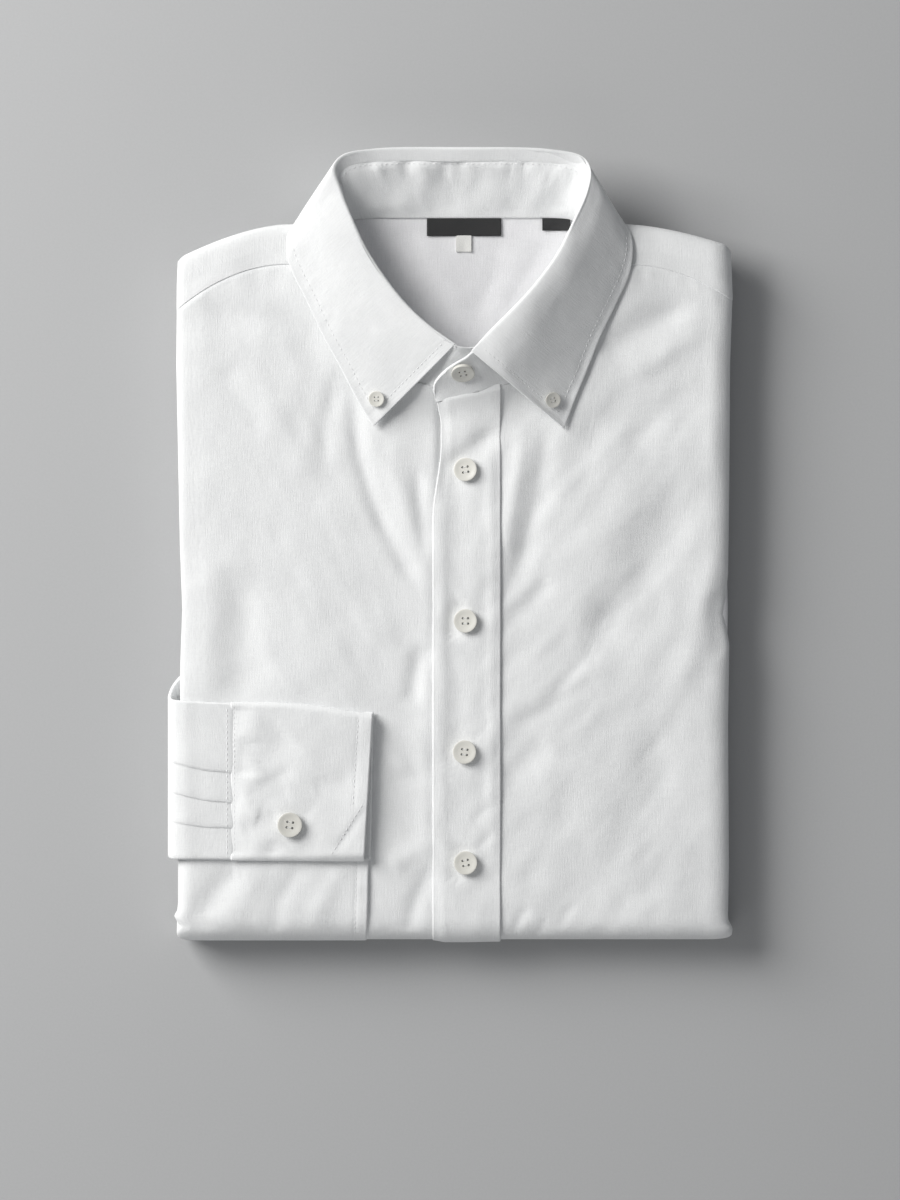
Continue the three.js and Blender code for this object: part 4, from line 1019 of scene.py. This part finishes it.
stand_wall = INTERFACED - 0.9 * smooth(7, 2, from_top) * smooth(0.13, 0.08, stand_u)[:, None]
stand = shell("collar_band", stand_face, stand_cloth, stand_wall)
stand.data.materials.append(OUTER_LINEN)
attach(stand, "root")
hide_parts("collar_stand")
ring_i = np.arange(40, 400)
band_row = seam_on(stand_face, ring_i, line_at(from_foot, BAND_STITCH_DOWN)[ring_i])
stand_stitches = sew("collar_band_stitches", [band_row])

# ---------------------------------------------------------------- the cuff underneath
# The other sleeve's cuff: interfaced linen, laid on the right front before the fold, so it goes
# round the bottom and the side with the body. One row of stitches runs along its free edge.
UNDER_LIFT = INTERFACED + 0.8
UNDER_STITCH_IN = 6.2  # from its free edge
UNDER_TOP_Y = -84.0  # hidden, under the other cuff
HELD_BACK = 6.0  # it ends so far short of the right front's own edges
UNDER_CREASES = [
    (-1.3, 7, 7, [(-108, -160), (-121, -176), (-134, -194)]),
    (0.6, 6, 6, [(-96, -160), (-106, -176), (-116, -192)]),
    (0.6, 5, 5, [(-55, -160), (-64, -174), (-74, -190)]),
    (-0.6, 5, 5, [(-78, -160), (-86, -176), (-92, -194)]),
]


def under_edge_x(y):
    """Its free edge, which leans a little."""
    return -43.4 + 0.03 * (y + 160)


def under_cuff_relief(x, y):
    seam = -0.3 * bell(under_edge_x(y) - x - UNDER_STITCH_IN, 0.9)
    soft = 0.4 * rumple(x, y, 24, 71) + 0.2 * rumple(x, y, 9, 72)
    return (creased(x, y, UNDER_CREASES) + soft + seam) * smooth(-150, -160, y)


u = np.r_[np.linspace(0, 0.16, 16)[:-1], np.linspace(0.16, 1, 78)][:, None]
v = np.linspace(0, 1, 104)[None]
along = mix(BOTTOM_EDGE + HELD_BACK, UNDER_TOP_Y, v)
across = mix(-SIDE_EDGE + HELD_BACK, under_edge_x(along), u)
along = along + 0 * across
under_face = body_point(across, along, under_cuff_relief)
# It is pressed closer to the body where it goes round the side and the bottom fold.
under_lift = UNDER_LIFT - 1.7 * smooth(-126, -138, across)
under_lift = np.maximum(0.5, under_lift - 1.7 * smooth(-182, -198, along))
under_face += face_normals(under_face) * under_lift[..., None]
under_cuff = shell("lower_cuff", under_face, np.stack([across, along], -1), INTERFACED)
under_cuff.data.materials.append(OUTER_LINEN)
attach(under_cuff, "root")
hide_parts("under_cuff")
inward = run_length(under_face, 0)
columns = np.arange(0, 62)
edge_i = line_at((inward[-1:] - inward).T, UNDER_STITCH_IN)[columns]
under_stitches = sew("lower_cuff_stitches", [seam_on(under_face, edge_i, columns)])

# ---------------------------------------------------------------- the end of the sleeve
# The right sleeve, folded flat: it comes out of the side, loops over the edge and lies on the
# front. Three tucks take its width into the cuff, each lying over the one below it.
SLEEVE = 2.1  # its two layers, pressed together
SLEEVE_TOP = BODY_HEIGHT + UNDER_LIFT + GAP + SLEEVE + 0.4
CUFF_START = -112.6
# Places in x and z of the loop over the side, from inside the fold to the cuff.
SLEEVE_SECTION = [
    (-134.6, 11), (-139.6, 12.4), (-143.2, 16.6), (-144.2, 21.6), (-142, SLEEVE_TOP - 2.4),
    (-136.6, SLEEVE_TOP - 0.2), (-127, SLEEVE_TOP), (CUFF_START + 2.6, SLEEVE_TOP),
]
# How far up its upper and its lower edge lie, at even steps along that loop.
SLEEVE_EDGES = [
    (-63, -150), (-66.5, -153), (-71.5, -155.5), (-76, -157),
    (-77.6, -157.6), (-78, -157.6), (-78.6, -157.6), (-79.2, -157.8),
]
TUCKS = [(-142, 0.13), (-129.5, 0.2), (-114.5, 0.2)]  # height in y at the cuff, and slope from it
TUCK_STEP = 0.5
sleeve_u = np.linspace(0, 1, 90)
section = curve_through(SLEEVE_SECTION, sleeve_u)
edges = curve_through(SLEEVE_EDGES, sleeve_u)
shares = [0, 0.04, 0.12, *np.linspace(0.2, 0.9, 13), 0.96, 0.995]
row_v = np.concatenate([k + np.array(shares if k else [0, *shares[2:]]) for k in range(4)])
from_cuff = CUFF_START - section[:, 0]
sag = 1.2 * smooth(0.35, 0.9, sleeve_u) * smooth(0, 14, from_cuff)
folds = [at_cuff + slope * from_cuff - sag for at_cuff, slope in TUCKS]
lines = np.stack([edges[:, 1], *folds, edges[:, 0]], -1)
row = row_v.astype(int)
share = row_v - row
y = mix(lines[:, row], lines[:, row + 1], share[None])
below = np.where(row < 3, smooth(0.05, 0.98, share) * TUCK_STEP, 0)
rounded = np.where(row > 0, 0.35 * bell(share, 0.05), 0)
fade = smooth(0.42, 0.75, sleeve_u)[:, None]
x = np.repeat(section[:, :1], len(row_v), 1)
soft = 0.25 * rumple(x, y, 16, 81) + 0.08 * rumple(x, y, 7, 82)
soft = soft * smooth(CUFF_START, CUFF_START - 8, x)
z = section[:, 1:] - (below + rounded)[None] * fade + soft * fade
z = z - 0.7 * smooth(CUFF_START - 0.2, CUFF_START + 3.2, x)  # it dips into the cuff
sleeve_face = np.stack([x, y, z], -1)
sleeve_cloth = np.stack([run_length(sleeve_face, 0), y], -1)
sleeve = shell("sleeve_end", sleeve_face, sleeve_cloth, SLEEVE)
sleeve.data.materials.append(OUTER_LINEN)
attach(sleeve, "root")
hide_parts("sleeve")
near_cuff = np.interp(CUFF_START - 1.7, section[:, 0], np.arange(len(section)))
columns = np.arange(1, len(row_v) - 1)
sleeve_row = seam_on(sleeve_face, np.full(len(columns), near_cuff), columns)
sleeve_stitches = sew("sleeve_stitches", [sleeve_row])

# ---------------------------------------------------------------- the cuff
# A band of two interfaced layers, folded at its upper and lower edges, open at the hand. It is
# topstitched where it joins the sleeve and along its opening, with one corner mitred.
CUFF_BASE = BODY_HEIGHT + UNDER_LIFT + GAP
CUFF_HEIGHT = INTERFACED * 2 + 0.9
# Its upper and lower edges, each at the sleeve and at the hand, and its opening, each layer at the
# lower and at the upper edge.
CUFF_UPPER_Y = (-79.0, -84.6)
CUFF_LOWER_Y = (-158.2, -158.6)
UPPER_LAYER_X = (-45.8, -41.4)
UNDER_LAYER_X = (-42.6, -41.2)
CUFF_CREASES = [
    (-0.9, 9, 9, [(-84, -92), (-92, -103), (-100, -112)]),
    (-0.8, 8, 8, [(-105.5, -96), (-105.5, -107), (-106, -118)]),
    (-0.6, 4, 5, [(-80, -111), (-92, -119), (-106, -127)]),
    (-0.5, 4.5, 5, [(-82, -123), (-92, -128), (-102, -133)]),
    (-0.6, 4.5, 5.5, [(-88, -134), (-98, -139), (-107, -144)]),
    (0.4, 6, 6, [(-98, -136), (-104, -134), (-110, -131)]),
    (-0.4, 5, 5, [(-72, -122), (-62, -120), (-50, -116)]),
    (0.3, 7, 4, [(-74, -134), (-66, -140), (-62, -150)]),
    (-0.5, 4, 4, [(-90, -148), (-92, -152), (-94, -156)]),
    (-0.45, 1.8, 2.8, [(-44.5, -131), (-49, -137), (-54.8, -145), (-61.5, -154.5)]),
]
cuff_u = np.linspace(0, 1, 88)  # from the sleeve to the hand
# Once round the band, with close rows at its two folded edges.
half_turn = np.r_[0, 0.002, 0.008, 0.018, np.linspace(0.03, 0.97, 84), 0.982, 0.992, 0.998, 1]
turn = np.r_[half_turn, half_turn[-2:0:-1]]
upper = np.arange(len(turn)) < len(half_turn)
share = cuff_u[None]
droop = smooth(0.2, 1, share)
upper_y = mix(*CUFF_UPPER_Y, droop * share)
lower_y = mix(*CUFF_LOWER_Y, share)
t = turn[:, None]
top_side = upper[:, None]
y = mix(lower_y, upper_y, t)
end_x = np.where(top_side, mix(*UPPER_LAYER_X, t), mix(*UNDER_LAYER_X, t))
x = mix(CUFF_START, end_x, share)
round_edge = np.minimum(1, np.sqrt(32 * t * (1 - t)))
swell = 0.35 * np.sin(math.pi * t) * np.sin(2.6 * share + t)
relief = creased(x, y, CUFF_CREASES) * 1.15 + 0.42 * rumple(x, y, 20, 91) + 0.16 * rumple(x, y, 9, 92)
to_hand = end_x - x
relief -= 0.16 * bell(to_hand - 7, 0.9) * smooth(-133, -128, y)
relief += 0.12 * bell(to_hand - 3, 2.5)
relief = relief * smooth(0, 7, x - CUFF_START)
relief -= 2.15 * smooth(14, -3, x - CUFF_START)  # it dips to its seam with the sleeve
relief += 1.1 * smooth(-15, 5, (x + 54) * 0.85 - (y + 142) * 0.53)  # the mitred corner lies higher
relief = relief * smooth(0, 0.06, t) * smooth(1, 0.94, t)
half = CUFF_HEIGHT / 2
z = CUFF_BASE + half + np.where(top_side, 1, -1) * half * round_edge + np.where(top_side, swell + relief, 0)
cuff_face = np.stack([x, y, z], -1)
cuff_cloth = np.stack([x, np.where(top_side, y, -y - 320)], -1)
# The outer face points up on the upper layer, so the rows run from the lower edge upwards there.
cuff_face, cuff_cloth = cuff_face[::-1], cuff_cloth[::-1]
cuff = shell("upper_cuff", cuff_face, cuff_cloth, INTERFACED, closed=True)
cuff.data.materials.append(OUTER_LINEN)
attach(cuff, "root")
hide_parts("cuff")
upper_face = cuff_face[::-1][: len(half_turn)]
upper_normals = face_normals(cuff_face, True)[::-1][: len(half_turn)]


def on_cuff(spots):
    """Points and normals of the cuff's upper face at places in plan."""
    path, normals = [], []
    for px, py in spots:
        miss = (upper_face[..., 0] - px) ** 2 + (upper_face[..., 1] - py) ** 2
        i, j = np.unravel_index(miss.argmin(), miss.shape)
        path.append((px, py, upper_face[i, j, 2]))
        normals.append(upper_normals[i, j])
    return np.array(path), np.array(normals)


seam_run = [(CUFF_START + 1.9, y) for y in np.linspace(-157, -80, 80)]
hand_run = [(mix(-53.4, -48.6, (y + 158) / 74), y) for y in np.linspace(-131, -85, 50)]
mitre_run = [(mix(-46.3, -62.6, k), mix(-129.6, -155.5, k)) for k in np.linspace(0, 1, 34)]
cuff_stitches = sew("upper_cuff_stitches", [on_cuff(seam_run), on_cuff(hand_run), on_cuff(mitre_run)])

# ---------------------------------------------------------------- labels
# Woven tapes sewn in at the neck seam: a dark one with a pale size tab under it, and a smaller
# dark one beside it. All are bare.


def tape(name, colour, rib):
    """Ribbed woven tape of one colour, its ribs this strong."""
    material, strand = new_finish(name)
    place = strand.node("ShaderNodeUVMap", {"uv_map": "cloth"})
    ribs = thread_check(strand, place, 0.0005, 0.0004)
    tone = strand.noise(place, 1400.0, 2.0) * 0.8 + ribs * 0.2
    pale = tuple(min(1, c * 1.35 + 0.01) for c in colour)
    values = {
        "Base Color": strand.blend(tone, colour, pale),
        "Roughness": 0.62,
        "Sheen Weight": 0.1,
        "Normal": strand.bump(rib, 0.00015, ribs * 0.5),
    }
    surface(strand, values)
    return material


DARK_TAPE = tape("dark tape", (0.006, 0.0062, 0.0068), 0.5)
PALE_TAPE = tape("pale tape", (0.62, 0.62, 0.6), 0.4)
TAPE = 0.8
# Piece, solid, right and left edge, lower and upper edge, finish and slot.
LABELS = [
    ("label_main", "neck_label", (-14.6, 22.6), (154.3, 163.2), DARK_TAPE, "dark_tape"),
    ("label_tab", "size_tab", (0.0, 7.9), (146.2, 155.0), PALE_TAPE, "pale_tape"),
    ("label_side", "care_label", (43.2, 57.4), (157.0, 163.2), DARK_TAPE, "dark_tape"),
]
for name, node, (start, end), (low, high), finish, slot in LABELS:
    x, y = np.meshgrid(np.linspace(start, end, 40), np.linspace(low, high, 14), indexing="ij")
    curl = 0.25 * np.cos((x - start) / (end - start) * 2 * math.pi) * smooth(high, low, y)
    z = neck_floor(x, y) + (TAPE + GAP + curl) * (0.75 if name == "label_tab" else 1.0)
    label = shell(name, np.stack([x, y, z], -1), np.stack([x, y], -1), TAPE)
    label.data.materials.append(finish)
    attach(label, "root")
    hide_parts(node)

# ---------------------------------------------------------------- buttons
# Turned resin buttons, off-white, with a raised rim, a dished middle and four holes, sewn on with
# white thread. Six of 12 mm down the front and on the cuff, two of 8 mm at the collar points.


def resin():
    material, strand = new_finish("button resin")
    place = strand.node("ShaderNodeTexCoord", (), (), 3)
    cloud = strand.noise(place, 240.0, 3.0)
    fleck = strand.noise(place, 1500.0, 1.0)
    colour = strand.blend(cloud * 0.8 + fleck * 0.2, (0.60, 0.59, 0.54), (0.76, 0.755, 0.71))
    surface(strand, {"Base Color": colour, "Roughness": 0.38, "Normal": strand.bump(0.12, 0.0001, fleck)})
    return material


RESIN = resin()
# Shares of a button's diameter: its height, and its holes' places each way and radius.
BUTTON_HIGH = 0.19
HOLE_OUT = 0.11
HOLE_RADIUS = 0.048
THREAD_RADIUS = 0.12  # in millimetres, as is the shank, the thread under a button
SHANK = 0.5


def pick_faces(obj, test):
    """In edit mode, selects the faces whose middle and normal pass the test."""
    work = bmesh.from_edit_mesh(obj.data)
    for part in (work.verts, work.edges, work.faces):
        for item in part:
            item.select = False
    for face in work.faces:
        face.select_set(bool(test(face.calc_center_median(), face.normal)))
    work.select_flush(True)
    bmesh.update_edit_mesh(obj.data)


def turn_button(diameter):
    """One button lying on the plane z = 0, at the origin, in metres."""
    radius, high = diameter / 2 * MM, diameter * BUTTON_HIGH * MM
    bpy.ops.object.select_all(action="DESELECT")
    bpy.ops.mesh.primitive_cylinder_add(vertices=48, radius=radius, depth=high, location=(0, 0, high / 2))
    made = bpy.context.object
    bpy.ops.object.transform_apply(location=True)
    bpy.ops.object.mode_set(mode="EDIT")
    bpy.ops.mesh.select_mode(type="FACE")
    pick_faces(made, lambda centre, normal: normal.z > 0.9)
    bpy.ops.mesh.inset(thickness=radius * 0.14)
    bpy.ops.mesh.inset(thickness=radius * 0.2)
    bpy.ops.transform.translate(value=(0, 0, -high * 0.13))
    bpy.ops.mesh.inset(thickness=radius * 0.2)
    bpy.ops.transform.translate(value=(0, 0, -high * 0.05))
    pick_faces(made, lambda centre, normal: normal.z < -0.9)
    bpy.ops.mesh.inset(thickness=radius * 0.3)
    bpy.ops.object.mode_set(mode="OBJECT")
    work = bmesh.new()
    work.from_mesh(made.data)
    for vert in work.verts:  # the foot is turned down narrower than the rim
        if vert.co.z < high * 0.1 and vert.co.xy.length > radius * 0.9:
            vert.co.xy *= 0.9
    work.to_mesh(made.data)
    work.free()
    bevel = made.modifiers.new("rim", "BEVEL")
    bevel.width = radius * 0.07
    bevel.segments = 3
    bevel.limit_method = "ANGLE"
    bevel.angle_limit = math.radians(25)
    bpy.ops.object.modifier_apply(modifier="rim")
    drills = []
    hole_out = diameter * HOLE_OUT * MM
    for sx, sy in ((1, 1), (-1, 1), (-1, -1), (1, -1)):
        bpy.ops.object.select_all(action="DESELECT")
        bpy.ops.mesh.primitive_cylinder_add(
            vertices=16,
            radius=diameter * HOLE_RADIUS * MM,
            depth=high * 3,
            location=(sx * hole_out, sy * hole_out, 0),
        )
        drills.append(bpy.context.object)
    for drill in drills:
        drill.select_set(True)
    bpy.ops.object.join()
    cut_away(made, bpy.context.object)
    bpy.ops.object.shade_smooth_by_angle(angle=math.radians(35))
    return made


def thread_of(diameter):
    """Two bars of thread over the button's middle, each down through two holes."""
    hole, high = diameter * HOLE_OUT, diameter * BUTTON_HIGH
    down = [(hole, -0.4), (hole, high * 0.5), (hole * 0.8, high * 0.83)]
    arch = [*((-x, z) for x, z in down), (0, high * 0.85), *down[::-1]]
    aside = np.array([0, 1, 0])
    points, faces = [], []
    for side in (-1, 1):
        path = curve_through([(x, side * hole, z) for x, z in arch], np.linspace(0, 1, 17))
        faces += tube_faces(len(points), len(path), THREAD_SIDES)
        for spot, ahead in zip(path, unit(np.gradient(path, axis=0))):
            up = unit(np.cross(ahead, aside))
            points += [spot + THREAD_RADIUS * (up * math.sin(a) + aside * math.cos(a)) for a in ROUND]
    return np.array(points), faces


def nearest_on(face, normals, px, py, part=slice(None)):
    """The point and normal of a grid that lie at a place in plan, among the part given."""
    miss = (face[..., 0] - px) ** 2 + (face[..., 1] - py) ** 2
    mask = np.full(miss.shape, 1e9)
    mask[part] = 0
    i, j = np.unravel_index((miss + mask).argmin(), miss.shape)
    normal = normals[max(0, i - 3) : i + 4, max(0, j - 3) : j + 4].mean((0, 1))
    spot = face[i, j].copy()
    spot[:2] = px, py
    return spot, unit(normal)


placket_normals = face_normals(placket_face)
leaf_normals = face_normals(leaf_face)
stand_normals = face_normals(stand_face)
# The top button is on the stand's outer side, and is turned a little further to the front.
band_outer = stand_face - stand_normals * INTERFACED
top_spot, top_normal = nearest_on(band_outer, -stand_normals, 3.4, 86.4, np.s_[410:458, :])
top_seat = (top_spot, unit(top_normal + np.array([0.0, -0.22, 0])))
cuff_seat = (np.array([-82.9, -140.2, CUFF_BASE + CUFF_HEIGHT + 0.35]), np.array([0.0, 0, 1]))
# Piece, solid, diameter, place and normal of the cloth under it, and turn in degrees.
SEATS = [("button_top", "button_band", 12.0, top_seat, 14)]
for k, (x, y, turn) in enumerate([(5, 37, 8), (5, -38.5, 0), (4.5, -104, -6), (5, -159.5, 10)], 1):
    seat = nearest_on(placket_face, placket_normals, x, y)
    SEATS.append((f"button_{k}", f"button_front_{k}", 12.0, seat, turn))
for side, x, y, half, turn in (
    ("right", -39.5, 72.5, np.s_[:90, 14:], 0),
    ("left", 48, 72, np.s_[330:, 14:], 20),
):
    seat = nearest_on(leaf_face, leaf_normals, x, y, half)
    SEATS.append((f"button_point_{side}", f"button_collar_{side}", 8.0, seat, turn))
SEATS.append(("button_cuff_hand", "button_cuff", 12.6, cuff_seat, -8))
patterns = {diameter: turn_button(diameter) for diameter in (12.0, 12.6, 8.0)}
for name, node, diameter, (spot, normal), turn in SEATS:
    pose = Vector((0, 0, 1)).rotation_difference(Vector(normal)).to_matrix().to_4x4()
    pose = Matrix.Translation(Vector((spot + normal * SHANK) * MM)) @ pose
    pose = pose @ Matrix.Rotation(math.radians(turn), 4, "Z")
    button = bpy.data.objects.new(name, patterns[diameter].data.copy())
    bpy.context.scene.collection.objects.link(button)
    button.data.transform(pose)
    button.data.materials.append(RESIN)
    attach(button, "root")
    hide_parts(node)
    points, faces = thread_of(diameter)
    thread = make_piece(name + "_thread", points, faces, points[:, :2])
    thread.data.transform(pose)
    thread.data.materials.append(THREAD)
    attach(thread, "root")
for pattern in patterns.values():
    bpy.data.objects.remove(pattern)

# ---------------------------------------------------------------- floor, light and camera
# A plain pale table top, a large soft lamp low on the right shoulder's side, a weak one across
# from it, a little light from all round, and a camera looking straight down.
bpy.ops.object.select_all(action="DESELECT")
bpy.ops.mesh.primitive_plane_add(size=6)
floor = bpy.context.object
floor.name = "table_top"
material, strand = new_finish("table top")
place = strand.node("ShaderNodeTexCoord", (), (), 3)
colour = strand.blend(strand.noise(place, 900.0, 3.0), (0.44, 0.445, 0.45), (0.48, 0.485, 0.49))
surface(strand, {"Base Color": colour, "Roughness": 0.8})
floor.data.materials.append(material)
floor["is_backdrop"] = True

world = bpy.data.worlds.new("room")
world.use_nodes = True
room_light = world.node_tree.nodes["Background"].inputs
room_light["Color"].default_value = (0.95, 0.97, 1, 1)
room_light["Strength"].default_value = 0.22
bpy.context.scene.world = world

for name, place, size, power in (
    ("soft_box", (-1.512, 0.906, 1.102), 1.3, 57.5),
    ("fill_box", (-0.3, -1.4, 0.9), 1.4, 4.0),
):
    lamp = bpy.data.lights.new(name, "AREA")
    lamp.shape = "SQUARE"
    lamp.size = size
    lamp.energy = power
    lamp.color = (1, 0.99, 0.975)
    holder = bpy.data.objects.new(name, lamp)
    holder.location = place
    holder.rotation_euler = (Vector((0.0, 0, 0.02)) - holder.location).to_track_quat("-Z", "Y").to_euler()
    bpy.context.scene.collection.objects.link(holder)

# In metres: what the picture takes in from top to bottom, how high that is, and its middle.
VIEW_LENGTH = 0.6
VIEW_LEVEL = 0.025
VIEW_MIDDLE = (-0.003, -0.028)
lens = bpy.data.cameras.new("camera")
lens.lens = 200
lens.sensor_width = 36
lens.clip_end = 20
camera = bpy.data.objects.new("camera", lens)
camera.location = (*VIEW_MIDDLE, VIEW_LEVEL + lens.lens / lens.sensor_width * VIEW_LENGTH)
bpy.context.scene.collection.objects.link(camera)
bpy.context.scene.camera = camera

low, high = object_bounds()
